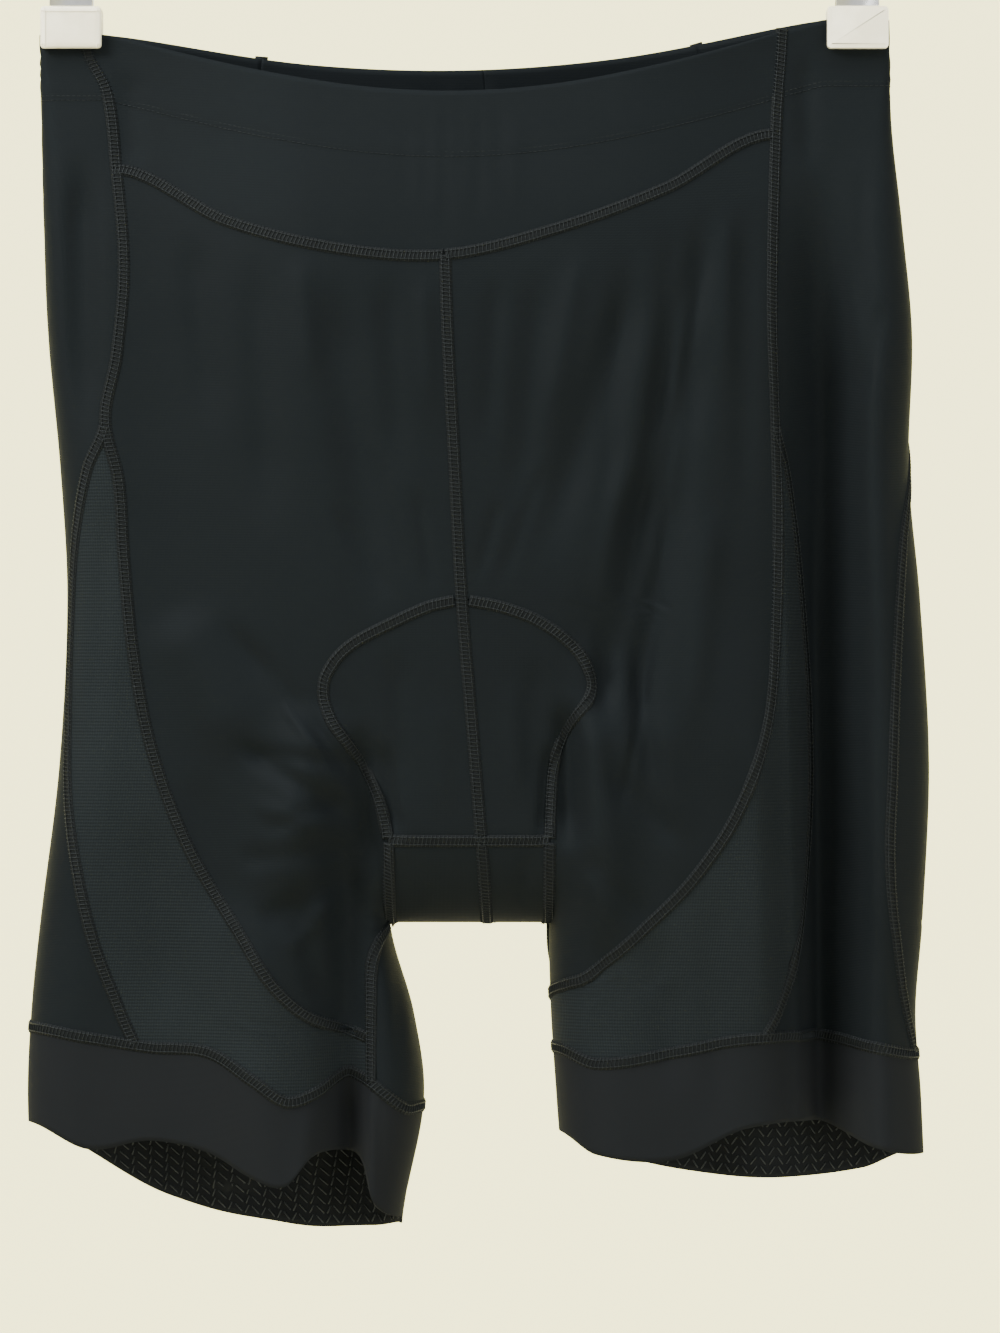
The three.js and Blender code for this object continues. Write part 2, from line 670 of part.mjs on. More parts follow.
// One jaw in Y and Z: from its grip pad up to the pivot, then out to a finger end.
function jawShape(way) {
  const pivotZ = barZ - slidingTongue.reach + jawPivot.above;
  const footZ = waistZ - padTop + touchGap;
  const flat = slidingTongue.half + touchGap;
  const footY = pad.fromMiddle + touchGap + (padThick - jawThick) / 2;
  const shape = new THREE.Shape();
  shape.moveTo(way * footY, footZ);
  shape.lineTo(way * flat, pivotZ - jawPivot.below);
  shape.lineTo(way * flat, pivotZ + jawPivot.half);
  shape.lineTo(way * jawTip.out, pivotZ + jawTip.up);
  shape.lineTo(way * (jawTip.out + jawThick), pivotZ + jawTip.up - jawTip.slant);
  shape.lineTo(way * (flat + jawThick), pivotZ + jawPivot.half - jawTip.slant);
  shape.lineTo(way * (flat + jawThick), pivotZ - jawPivot.below);
  shape.lineTo(way * (footY + jawThick), footZ);
  shape.closePath();
  return shape;
}

// A grip pad with rounded corners and bevelled edges, lying against the cloth.
function padGeometry(way, centreX) {
  const halfWide = padWidth / 2 - pad.bevel - pad.corner;
  const top = waistZ - padTop - pad.bevel - pad.corner;
  const foot = waistZ - padFoot + pad.bevel + pad.corner;
  const shape = new THREE.Shape();
  const corners = [[halfWide, top], [-halfWide, top], [-halfWide, foot], [halfWide, foot]];
  corners.forEach(([x, z], i) => {
    shape.absarc(x, z, pad.corner, (i * Math.PI) / 2, ((i + 1) * Math.PI) / 2, false);
  });
  shape.closePath();
  const depth = padThick - 2 * pad.bevel;
  const block = new THREE.ExtrudeGeometry(shape, {
    depth, bevelSize: pad.bevel, bevelThickness: pad.bevel, bevelSegments: 1, curveSegments: 2,
  });
  block.translate(0, 0, -depth / 2).rotateX(Math.PI / 2);
  return block.translate(centreX, way * (pad.fromMiddle + touchGap + padThick / 2), 0);
}

function addClip(side, centreX) {
  const { half, reach, width } = slidingTongue;
  add(`clip_slider_${side}`, alongX(ringOnBar(half, reach, -1), width, centreX), chrome);
  for (const [way, layer] of [[-1, 'front'], [1, 'back']]) {
    add(`clip_jaw_${layer}_${side}`, alongX(jawShape(way), jawWidth, centreX), chrome);
    add(`clip_pad_${layer}_${side}`, padGeometry(way, centreX), padPlastic);
  }
}

function addBar() {
  const bar = new THREE.CylinderGeometry(barRadius, barRadius, 2 * barHalf, 16);
  add('hanger_bar', bar.rotateZ(Math.PI / 2).translate(0, 0, barZ), chrome);
  const stop = { width: 6, radius: 4, bevel: 1 };
  const profile = [
    [0, 0], [stop.radius, 0], [stop.radius, stop.width - stop.bevel], [stop.radius - stop.bevel, stop.width],
    [0, stop.width],
  ];
  for (const [name, way] of [['left', -1], ['right', 1]]) {
    const cap = new THREE.LatheGeometry(profile.map(([r, h]) => new THREE.Vector2(r, h)), 16);
    cap.rotateZ((-way * Math.PI) / 2).translate(way * (barHalf + touchGap), 0, barZ);
    add(`bar_end_${name}`, cap, chrome);
  }
}

// Hook: a straight shank out of the socket, a short bend, then most of a circle.
function addHook() {
  const socket = { half: 3, reach: 14, width: 9 };
  add('hook_socket', alongX(ringOnBar(socket.half, socket.reach, 1), socket.width, 0), chrome);
  const bend = { shankTopZ: -50, x: 4, z: -43.5 };
  const shankFootZ = barZ + socket.reach + touchGap;
  const points = [[0, shankFootZ], [0, (barZ + bend.shankTopZ) / 2], [0, bend.shankTopZ], [bend.x, bend.z]];
  const wireCentre = hookRadius + wireRadius;
  const arc = { from: -50, to: 195, steps: 16 };
  for (let i = 0; i <= arc.steps; i += 1) {
    const angle = THREE.MathUtils.degToRad(arc.from + ((arc.to - arc.from) * i) / arc.steps);
    points.push([wireCentre * Math.cos(angle), -hookRadius + wireCentre * Math.sin(angle)]);
  }
  const bends = points.map(([x, z]) => new THREE.Vector3(x, 0, z));
  const path = new THREE.CatmullRomCurve3(bends, false, 'centripetal');
  const section = new THREE.Shape();
  section.absarc(0, 0, wireRadius, 0, 2 * Math.PI, false);
  const wire = new THREE.ExtrudeGeometry(section, { steps: 34, extrudePath: path, curveSegments: 4 });
  add('hanger_hook', wire, chrome);
}

addYoke();
addSide('left');
addSide('right');
addBar();
addHook();
addClip('left', -clipX);
addClip('right', clipX);

export default part;
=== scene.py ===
# Cycling shorts on a clip hanger: cloth shells, sewing, grippers and the hanger's finishes.
import math

import bpy
import mathutils
import numpy as np
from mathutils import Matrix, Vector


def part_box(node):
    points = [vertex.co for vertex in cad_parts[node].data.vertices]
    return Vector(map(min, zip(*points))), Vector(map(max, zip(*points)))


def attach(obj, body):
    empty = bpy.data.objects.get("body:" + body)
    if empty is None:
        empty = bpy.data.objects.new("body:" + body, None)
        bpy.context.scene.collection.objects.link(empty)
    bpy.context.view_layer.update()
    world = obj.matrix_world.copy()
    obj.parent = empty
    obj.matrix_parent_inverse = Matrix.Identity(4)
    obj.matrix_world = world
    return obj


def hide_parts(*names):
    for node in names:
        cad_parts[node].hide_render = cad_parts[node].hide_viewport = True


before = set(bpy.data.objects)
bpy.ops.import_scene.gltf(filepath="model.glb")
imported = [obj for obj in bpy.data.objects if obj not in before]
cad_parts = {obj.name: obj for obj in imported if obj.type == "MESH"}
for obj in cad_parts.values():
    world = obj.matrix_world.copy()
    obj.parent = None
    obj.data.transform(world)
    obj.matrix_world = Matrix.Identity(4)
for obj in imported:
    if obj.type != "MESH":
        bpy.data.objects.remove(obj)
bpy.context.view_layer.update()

# The garment's own form, in millimetres. A drop is how far a point lies below the waist's corners.
form = {
    "waistZ": -128.0,
    "crotchDrop": 400.0,
    "levelSpan": (-12, 547),    # drops of the first level and just past the last
    "gussetTop": 257.4,
    "gussetFoot": 363.0,
    "rearGussetTop": 318.0,
    "gussetGap": 0.4,
    "crotchRound": 44.0,
    "legRound": 30.0,
    "sideTurn": 1.15,           # reach of the turn at a side edge, in half depths there
    "middleFrom": 32.0,         # the middle's depth starts this far from the side edge
    "middleReach": 90.0,
    "foldReach": 22.0,          # folds fade out over this much at a side edge
    "foldTop": 4,               # a fold fades in over one part in four of its length,
    "foldFoot": 3,              # and out over one in three,
    "foldHem": 500,             # unless its foot lies below this drop
    "middleX": 5.0,             # x where the left half's form ends in pieces that cross the middle
    "cloth": 1.1,               # thickness of a shell
    "lift": 0.15,               # how far a shell stands out of its solid
    "cell": (2.0, 2.6),         # width and height of a shell's faces
    "finest": 0.4,              # reach of the differences that give a normal
    "finestShare": 0.004,       # the same, as a share of a middle piece
    "creaseScale": 1.25,
}
sideNames = ("left", "right")
innerX = {"left": -33.0, "right": 37.5}
sectionNames = ["drop", "leftSide", "leftInner", "centre", "seat", "rightInner", "rightSide",
                "sideHalf", "middleHalf"]
sectionRows = [
    [-5, -188, -33, -10, 8, 37.5, 188, 1.9, 14],
    [16, -188, -33, -10, 8, 37.5, 188.5, 1.9, 15],
    [48, -187.5, -33, -9.5, 12, 37.5, 189.5, 6, 16],
    [90, -186.5, -33, -8.6, 20, 37.5, 194, 13, 17],
    [140, -184.5, -33, -7.2, 29, 37.5, 198.5, 18, 17],
    [200, -179, -33, -4, 36, 37.5, 197, 20, 16],
    [257, -176, -33, -1, 35, 37.5, 202, 21, 15],
    [330, -179.5, -33, 5, 21, 37.5, 206, 22, 13],
    [400, -188, -33, 10, 10, 37.5, 203, 22, 10],
    [440, -192, -22.5, 10, 10, 38.5, 200, 22, 8],
    [478, -193.5, -18, 10, 10, 41, 202.5, 22, 8],
    [540, -191, -28, 10, 10, 45, 204.5, 22, 8],
]
# Folds of each layer: top x, top drop, foot x, foot drop, half width, depth inwards
largeFolds = {
    "front": [
        [158, 40, 160, 560, 15, 23], [184, 90, 183, 560, 12, -5], [120, 250, 130, 560, 22, -6],
        [-171, 55, -168, 200, 8, 6], [-50, 330, -52, 560, 10.5, 13], [-95, 380, -80, 560, 20, -8],
        [-62, 300, -84, 400, 14, -9], [62, 290, 60, 420, 13, -10], [44, 300, 47, 372, 6, 7],
        [-46, 310, -40, 385, 6, 7], [105, 130, 68, 330, 9, 5], [78, 110, 30, 250, 9, 4],
        [-60, 110, -35, 270, 10, 4], [-130, 260, -95, 330, 14, -4],
    ],
    "back": [
        [0, 90, 5, 330, 15, 6], [90, 250, 70, 400, 12, 7], [-90, 250, -75, 420, 12, 7],
        [130, 330, 128, 560, 18, 9], [-130, 330, -125, 560, 16, -7], [-60, 440, -70, 560, 14, 8],
    ],
}
# Soft creases that only the shells have, in the same columns
creases = {
    "front": [
        # gathers at the middle of the waist
        [-16, 34, -17, 92, 2.2, 0.3], [-8, 32, -8, 104, 2.4, 0.4], [-1, 33, -2, 84, 2.0, 0.3],
        [7, 36, 6, 99, 2.6, 0.4], [15, 34, 15, 78, 2.4, 0.3], [24, 40, 22, 90, 3.0, -0.3],
        [-26, 42, -25, 88, 3.2, 0.3],
        # soft vertical folds below the yoke
        [-120, 92, -110, 190, 7, 1.4], [-92, 100, -84, 232, 8, 1.8], [-72, 104, -66, 168, 5, -1.2],
        [-34, 110, -28, 210, 6, 1.5], [-18, 112, -14, 180, 4, -1.0], [14, 110, 10, 196, 5, 1.3],
        [34, 106, 22, 232, 7, 1.9], [52, 100, 36, 190, 5, -1.3], [72, 96, 60, 240, 6, 1.8],
        [91, 90, 84, 206, 5, 1.6], [104, 84, 99, 190, 5.5, 2.2], [116, 80, 114, 172, 4.5, -1.3],
        [124, 78, 122, 240, 6, 1.4],
        # long folds of the right front
        [78, 200, 44, 300, 7, 2.2], [96, 190, 78, 330, 8, 2.4], [110, 210, 98, 330, 6, -1.8],
        [56, 248, 70, 366, 6, 3.2], [72, 262, 84, 350, 5, 2.0], [88, 300, 96, 392, 7, -1.6],
        [50, 366, 84, 404, 6, 1.8], [60, 330, 104, 372, 6, 1.4], [108, 96, 82, 236, 3.2, 1.6],
        [92, 112, 70, 300, 6, 2.2], [84, 236, 74, 318, 3.5, 1.8], [96, 150, 88, 236, 4, -1.2],
        [101, 100, 76, 215, 5, 1.8], [84, 184, 57, 320, 5.5, 3.8], [73, 186, 49, 300, 4.5, -1.6],
        [91, 198, 78, 312, 1.9, 1.2], [80, 292, 68, 352, 2.1, 1.1],
        # fine lines that fan out above the gusset
        [-58, 214, -30, 262, 3.4, 0.9], [-21, 206, -13, 258, 2.6, 0.9], [-40, 190, -22, 256, 3.2, 0.7],
        [16, 212, 5, 252, 2.6, 0.9], [36, 196, 14, 256, 3.2, 0.8],
        # the gaps beside the crotch
        [-36, 318, -29, 368, 3.8, 3.4], [38, 318, 34, 368, 3.4, 3.0], [-98, 324, -42, 330, 3.6, 1.5],
        [-81, 302, -60, 326, 2.4, -0.9], [-90, 360, -44, 340, 3.4, 1.3],
        # the lip of the deep fold, and its floor
        [139, 160, 151, 560, 4, -3.2], [153, 190, 158, 560, 4.5, 3.0],
        # the tucked part of the left cuff
        [-50, 458, -52, 560, 6.5, 4.2], [-41, 458, -40, 560, 2.6, -2.2], [-66, 470, -74, 560, 6, -1.8],
        # pulls that run to the crotch on the left
        [-110, 262, -44, 342, 5, 1.9], [-92, 282, -42, 352, 4, -1.5], [-104, 318, -43, 356, 4.5, 2.2],
        [-96, 346, -44, 362, 4, -1.4], [-102, 372, -46, 366, 5, 2.0], [-92, 400, -46, 376, 5, 1.8],
        [-80, 414, -52, 384, 4, -1.4], [-68, 306, -48, 344, 3.5, 1.4],
        # left leg
        [-74, 384, -60, 446, 6, 2.2], [-104, 398, -92, 470, 8, 1.6], [-118, 330, -104, 410, 9, 1.5],
        [-38, 352, -34, 420, 3, 1.4], [-31, 370, -28, 472, 3, 1.2], [-24, 404, -23, 468, 2.4, -1.0],
        [-140, 350, -128, 452, 9, 1.6], [-158, 210, -164, 330, 6, 1.2], [-176, 72, -172, 178, 4, 1.4],
        [-182, 240, -184, 400, 5, 1.2],
        # gusset and the strip below it
        [-30, 276, -26, 350, 5, 1.2], [30, 280, 32, 352, 5, 1.4], [-12, 300, -8, 356, 5, -0.8],
        [20, 290, 24, 350, 4, -0.8], [-26, 366, -22, 398, 4, 0.8], [28, 366, 26, 398, 4, 0.9],
        # right leg and the deep trough's edges
        [60, 400, 62, 470, 6, 1.6], [84, 396, 92, 480, 7, 1.8], [108, 380, 112, 496, 7, 1.6],
        [127, 300, 131, 470, 6, -1.6], [143, 183, 148, 230, 4, 1.6], [186, 122, 172, 176, 4, 1.5],
        [192, 200, 190, 330, 5, 1.3], [178, 300, 182, 420, 5, -1.2], [176, 60, 178, 150, 4, 1.2],
        [150, 14, 153, 70, 5, 1.6], [-150, 20, -146, 72, 6, 1.2],
    ],
    "back": [
        # the seat, the same kinds of folds
        [-6, 24, -7, 96, 3, 0.8], [12, 22, 13, 84, 3, 0.9], [30, 26, 33, 110, 4, 1.0],
        [-28, 26, -32, 104, 4, 1.1], [-110, 60, -92, 210, 8, 1.8], [-70, 70, -52, 190, 7, 1.7],
        [76, 60, 60, 200, 7, 1.9], [118, 70, 98, 230, 8, 2.0], [-100, 270, -36, 372, 6, 2.2],
        [-112, 330, -42, 388, 6, 1.9], [104, 280, 42, 368, 6, 2.2], [118, 340, 46, 386, 6, 1.8],
        [20, 250, 16, 340, 5, 1.4], [-64, 400, -58, 500, 8, 1.8], [-110, 390, -104, 520, 9, 1.9],
        [84, 396, 88, 500, 8, 2.0], [160, 300, 158, 480, 8, 1.9], [-156, 150, -162, 330, 7, 1.6],
        [164, 110, 170, 260, 7, 1.7],
    ],
}

# Seams seen from the front: drop, x. The first four lie on the front layer, the seat's on the back.
frontSeam = {
    "left": [
        [0, -168], [15, -167], [32, -158.5], [65, -154], [110, -150], [150, -153], [178, -158],
        [205, -152], [240, -149.6], [280, -145.6], [323, -137.3], [367, -120.6], [403, -98.6], [427, -83],
        [441, -67], [447, -50], [451, -41],
    ],
    "right": [
        [0, 141], [46, 138], [125, 135.5], [178, 136.8], [222, 138], [275, 136.8], [315, 132.4],
        [352, 119], [381, 99.4], [403, 77.4], [418, 60], [426, 49.5], [429.5, 40],
    ],
}
insertSeam = {
    "left": [
        [178, -158], [200, -166], [231, -171.5], [266, -173.5], [301, -174.5], [345, -174.5],
        [381, -169.5], [411, -162], [438, -151.4], [470, -140],
    ],
    "right": [
        [178, 136.8], [200, 142], [231, 146.5], [266, 150], [301, 152.5], [345, 153], [389, 150],
        [416, 145.6], [438, 138], [470, 124],
    ],
}
gussetSeam = {
    "left": [
        [257.4, -3], [260, -14], [266, -28], [277, -49], [288, -59], [298, -61.5], [310, -58], [320, -51],
        [332, -43], [346, -37], [363, -33.5], [400, -33],
    ],
    "right": [
        [257.4, 1], [260, 14], [266, 31], [277, 47], [288, 54.5], [299, 55.5], [310, 48], [320, 42],
        [332, 39], [346, 38], [363, 37.5], [400, 37.5],
    ],
}
leftInseam = [[400, -33.5], [408, -37.5], [416, -40.3], [424, -41], [432, -41], [560, -41]]
seatSeam = {
    "left": [[318, 22], [321, 9], [328, -6], [338, -19], [350, -28], [362, -33], [400, -33]],
    "right": [[318, 26], [323, 31.5], [332, 35.5], [346, 37.5], [400, 37.5]],
}
# Side seams: drop, cloth distance behind the outer edge
sideSeam = {
    "left": [[0, 100], [100, 92], [200, 82], [300, 75], [400, 70], [490, 66]],
    "right": [
        [0, 88], [60, 64], [110, 40], [160, 20], [195, 2], [222, -12], [245, -19], [280, -25.5],
        [310, -29.5], [337, -31.3], [366, -31.5], [394, -28], [423, -20], [452, -10], [470, -5],
        [490, -2],
    ],
}
# Cuffs: x, drop of the seam, drop of the hem
cuffRows = {
    ("left", "front"): [
        [-193, 446, 488], [-165, 450, 499], [-138, 454, 495], [-112, 456, 500], [-92, 468, 511],
        [-78, 477, 514], [-66, 474, 501], [-52, 465, 500], [-45, 467, 504], [-40, 470, 522],
        [-26, 481, 531], [-20, 481, 532],
    ],
    ("left", "back"): [
        [-193, 446, 488], [-170, 456, 502], [-130, 472, 525], [-80, 482, 536], [-40, 482, 537],
        [-20, 481, 532],
    ],
    ("right", "front"): [
        [41, 455, 492], [58, 461, 501], [92, 456, 503], [124, 450, 489], [157, 450, 488],
        [180, 454, 498], [202, 458, 502],
    ],
    ("right", "back"): [[41, 455, 492], [80, 464, 509], [135, 467, 515], [178, 463, 511], [202, 458, 502]],
}
yokeRows = [[-155, 67], [-104, 91], [-59, 103], [-9, 106.5], [40, 95], [88, 77], [137, 51.5]]
waist = {"half": 160.0, "front": 30.0, "back": 17.0, "power": 1.25, "tilt": 3.3, "casing": 28.0,
         "casingEdge": 0.7, "casingLift": 0.35}


# Smooth value of one column of a table whose first column rises
def lookUp(rows, at, column=1):
    table = np.array(rows, float)
    keys, values = table[:, 0], table[:, column]
    slopes = np.zeros(len(keys))
    slopes[1:-1] = (values[2:] - values[:-2]) / (keys[2:] - keys[:-2])
    at = np.clip(at, keys[0], keys[-1])
    i = np.clip(np.searchsorted(keys, at, side="right") - 1, 0, len(keys) - 2)
    span = keys[i + 1] - keys[i]
    t = (at - keys[i]) / span
    return ((2 * t**3 - 3 * t**2 + 1) * values[i] + (t**3 - 2 * t**2 + t) * span * slopes[i]
            + (3 * t**2 - 2 * t**3) * values[i + 1] + (t**3 - t**2) * span * slopes[i + 1])


def section(name, drop):
    return lookUp(sectionRows, drop, sectionNames.index(name))


def ease(t):
    s = np.clip(t, 0, 1)
    return s * s * (3 - 2 * s)


# A value that each layer has in its own way
def byLayer(isFront, valueOf):
    return np.where(isFront, valueOf("front"), valueOf("back"))


def quarterRound(distance, reach):
    t = np.clip(distance / reach, 0, 1)
    return np.sqrt(1 - (1 - t) ** 2)


def waistDrop(x, layer):
    across = np.clip(x / waist["half"], -1, 1)
    return waist["tilt"] * (1 - across) + waist[layer] * (1 - across * across) ** waist["power"]


def yokeDrop(x):
    return lookUp(yokeRows, x)


def foldDepth(rows, x, drop):
    depth = np.zeros(np.shape(x))
    for topX, topDrop, footX, footDrop, halfWidth, deep in rows:
        runX, runDrop = footX - topX, footDrop - topDrop
        t = ((x - topX) * runX + (drop - topDrop) * runDrop) / (runX**2 + runDrop**2)
        off = np.hypot(x - topX - t * runX, drop - topDrop - t * runDrop)
        foot = 1.0 if footDrop > form["foldHem"] else ease(np.minimum(1, (1 - t) * form["foldFoot"]))
        ends = ease(np.minimum(1, t * form["foldTop"])) * foot * ((t > 0) & (t < 1))
        depth = depth + deep * ends * np.exp(-((off / halfWidth) ** 2))
    return depth


# Depth of a layer at a place in the front view. The front is towards -Y.
def clothY(side, layer, x, drop, fine=False):
    outer = x - section("leftSide", drop) if side == "left" else section("rightSide", drop) - x
    inner = section("leftInner", drop) - x if side == "left" else x - section("rightInner", drop)
    sideHalf = section("sideHalf", drop)
    notch = np.maximum(0, form["crotchDrop"] - drop)
    notch = np.where(inner > 0, np.hypot(notch, inner * form["crotchRound"] / form["legRound"]), notch)
    turn = quarterRound(outer, sideHalf * form["sideTurn"]) * quarterRound(notch, form["crotchRound"])
    middle = ease((outer - form["middleFrom"]) / form["middleReach"])
    full = sideHalf + section("middleHalf", drop) * middle
    folds = foldDepth(largeFolds[layer], x, drop)
    if fine:
        folds = folds + form["creaseScale"] * foldDepth(creases[layer], x, drop)
    return (-1 if layer == "front" else 1) * turn * (full - folds * ease(outer / form["foldReach"]))


# Levels of one half: distances along the cloth from the front's inner end round to the back's
samples = 120
levelGap = 10000.0    # keeps the levels apart in one sorted list of distances
crotch = form["crotchDrop"]
levelDrops = np.concatenate([
    np.arange(form["levelSpan"][0], crotch), [crotch - 0.001], np.arange(crotch, form["levelSpan"][1]),
])
isLegLevel = levelDrops >= crotch


def makeLevels(side):
    share = np.abs(np.arange(-samples, samples + 1)) / samples
    leg = isLegLevel[:, None]
    towards = np.where(leg, (1 - np.cos(np.pi * share)) / 2, 1 - np.cos(np.pi / 2 * share))
    outerX = section(side + "Side", levelDrops)[:, None]
    innerX = section(side + "Inner", levelDrops)[:, None]
    frontX = np.where(leg, innerX, section("centre", levelDrops)[:, None])
    backX = np.where(leg, innerX, section("seat", levelDrops)[:, None])
    onFront = (np.arange(-samples, samples + 1) < 0)[None, :]
    x = outerX + (np.where(onFront, frontX, backX) - outerX) * towards
    drop = np.broadcast_to(levelDrops[:, None], x.shape)
    y = byLayer(onFront, lambda layer: clothY(side, layer, x, drop))
    step = np.hypot(np.diff(x, axis=1), np.diff(y, axis=1))
    along = np.concatenate([np.zeros((len(x), 1)), np.cumsum(step, axis=1)], axis=1)
    return {
        "x": x, "along": along, "total": along[:, -1], "outer": along[:, samples],
        "keys": (along + np.arange(len(x))[:, None] * levelGap).ravel(),
        "ends": (outerX[:, 0], frontX[:, 0], backX[:, 0]),
    }


levels = {side: makeLevels(side) for side in sideNames}
print("levels", len(levelDrops))


def levelIndex(drop):
    i = np.clip(np.searchsorted(levelDrops, drop, side="right") - 1, 0, len(levelDrops) - 2)
    return i, (drop - levelDrops[i]) / (levelDrops[i + 1] - levelDrops[i])


# X and layer at distances along given levels
def onLevel(side, i, along):
    made = levels[side]
    total = made["total"][i]
    at = np.where(isLegLevel[i], np.mod(along, total), np.clip(along, 0, total - 1e-6))
    flat = made["x"].ravel()
    j = np.searchsorted(made["keys"], at + i * levelGap, side="right") - 1
    j = np.clip(j, i * (2 * samples + 1), (i + 1) * (2 * samples + 1) - 2)
    near, far = made["keys"][j] - i * levelGap, made["keys"][j + 1] - i * levelGap
    t = np.where(far > near, (at - near) / np.maximum(far - near, 1e-9), 0)
    return flat[j] + (flat[j + 1] - flat[j]) * t, at < made["outer"][i]


def unit(vectors):
    return vectors / np.maximum(np.linalg.norm(vectors, axis=-1, keepdims=True), 1e-9)


def bothFloats(drop, along):
    return np.broadcast_arrays(np.asarray(drop, float), np.asarray(along, float))


# Distance along at the outer edge
def outerAt(side, drop):
    return np.interp(drop, levelDrops, levels[side]["outer"])


# Points of the finely creased cloth at drops and distances along, in millimetres
def surface(side, drop, along):
    drop, along = bothFloats(drop, along)
    i, t = levelIndex(drop)
    outer = levels[side]["outer"]
    fromOuter = along - outerAt(side, drop)
    isCrotch = isLegLevel[i] != isLegLevel[i + 1]    # distances start elsewhere from here on
    x, isFront = onLevel(side, i, np.where(isCrotch, fromOuter + outer[i], along))
    nextX, _ = onLevel(side, i + 1, np.where(isCrotch, fromOuter + outer[i + 1], along))
    x = x + (nextX - x) * t
    y = byLayer(isFront, lambda layer: clothY(side, layer, x, drop, True))
    return np.stack([x, y, form["waistZ"] - drop], axis=-1)


# Outward normals. A place keeps its distance from the outer edge from one level to the next.
def outward(side, drop, along):
    e = form["finest"]
    drop, along = bothFloats(drop, along)
    fromOuter = along - outerAt(side, drop)
    low = surface(side, drop + e, fromOuter + outerAt(side, drop + e))
    high = surface(side, drop - e, fromOuter + outerAt(side, drop - e))
    over = surface(side, drop, along + e) - surface(side, drop, along - e)
    return unit(np.cross(low - high, -over if side == "left" else over))


# Distance along each level at which a layer has a given x
def alongOf(side, layer, x, drop=None):
    made = levels[side]
    if drop is None:
        i = np.arange(len(levelDrops))
    else:
        i, _ = levelIndex(np.asarray(drop, float))
    outerX, frontX, backX = (ends[i] for ends in made["ends"])
    innerX = frontX if layer == "front" else backX
    t = np.clip((x - outerX) / (innerX - outerX), 0, 1)
    share = np.where(isLegLevel[i], np.arccos(1 - 2 * t) / np.pi, np.arccos(1 - t) * 2 / np.pi)
    number = samples + share * samples * (-1 if layer == "front" else 1)
    low = np.clip(np.floor(number).astype(int), 0, 2 * samples - 1)
    a, b = made["along"][i, low], made["along"][i, low + 1]
    return a + (b - a) * (number - low)


# Seams as distances along, one value for each level
def onFrontAt(side, rows):
    return alongOf(side, "front", lookUp(rows, levelDrops))


inseam = {"behind": 12.0, "turn": 24.0}    # the right inseam lies behind the inner edge
frontTurn = (424.0, 434.0)                 # drops over which the right front seam turns to it
seamsPart = 178.0                          # drop where the front and insert seams part
seamAlong = {}
for side in sideNames:
    total, outer = levels[side]["total"], levels[side]["outer"]
    gusset = onFrontAt(side, gussetSeam[side])
    seat = alongOf(side, "back", lookUp(seatSeam[side], levelDrops))
    front = onFrontAt(side, frontSeam[side])
    insert = onFrontAt(side, insertSeam[side])
    if side == "left":
        inner = onFrontAt(side, leftInseam)
    else:
        inner = -inseam["behind"] * ease((levelDrops - crotch) / inseam["turn"])
        before = np.interp(frontTurn[0], levelDrops, front)
        t = np.clip((levelDrops - frontTurn[0]) / (frontTurn[1] - frontTurn[0]), 0, 1)
        front = np.where(levelDrops <= frontTurn[0], front, before + (-inseam["behind"] - before) * t)
    seamAlong[side] = {
        "inner": np.where(levelDrops < form["gussetTop"], 0, np.where(isLegLevel, inner, gusset)),
        "front": front, "insert": insert,
        "sideFront": np.where(levelDrops < seamsPart, front, insert),
        "sideBack": outer + lookUp(sideSeam[side], levelDrops),
        "seat": np.where(isLegLevel, total + inner,
                         np.where(levelDrops < form["rearGussetTop"], total, seat)),
        "inseam": inner, "gusset": gusset, "seatSide": seat,
        "zero": np.zeros(len(levelDrops)), "total": total,
    }


def seamAt(side, name, drop):
    return np.interp(drop, levelDrops, seamAlong[side][name])


pieces = {}


def placed(name, data, location=(0, 0, 0), rotation=(0, 0, 0)):
    thing = bpy.data.objects.new(name, data)
    thing.location, thing.rotation_euler = location, rotation
    bpy.context.scene.collection.objects.link(thing)
    return thing


# The object that an operator just made, under its own name
def named(name):
    thing = bpy.context.object
    thing.name = thing.data.name = name
    return thing


# Meshes from arrays, all in millimetres until here
def makePiece(name, points, faces, material, uvs=None):
    mesh = bpy.data.meshes.new(name)
    mesh.from_pydata((points * 0.001).tolist(), [], faces)
    if uvs is not None:
        layer = mesh.uv_layers.new(name="cloth")
        corner = np.zeros(len(mesh.loops), np.int32)
        mesh.loops.foreach_get("vertex_index", corner)
        layer.data.foreach_set("uv", (uvs[corner] * 0.001).astype(np.float32).ravel())
    mesh.polygons.foreach_set("use_smooth", np.ones(len(mesh.polygons), bool))
    mesh.materials.append(material)
    mesh.update()
    pieces[name] = placed(name, mesh)


# Quads of a grid of points, closed to a ring or not
def gridQuads(rows, columns, isRing):
    spans = columns if isRing else columns - 1
    r, c = np.meshgrid(np.arange(rows - 1), np.arange(spans), indexing="ij")
    a = (r * columns + c).ravel()
    b = (r * columns + (c + 1) % columns).ravel()
    return np.stack([a, a + columns, b + columns, b], axis=1)


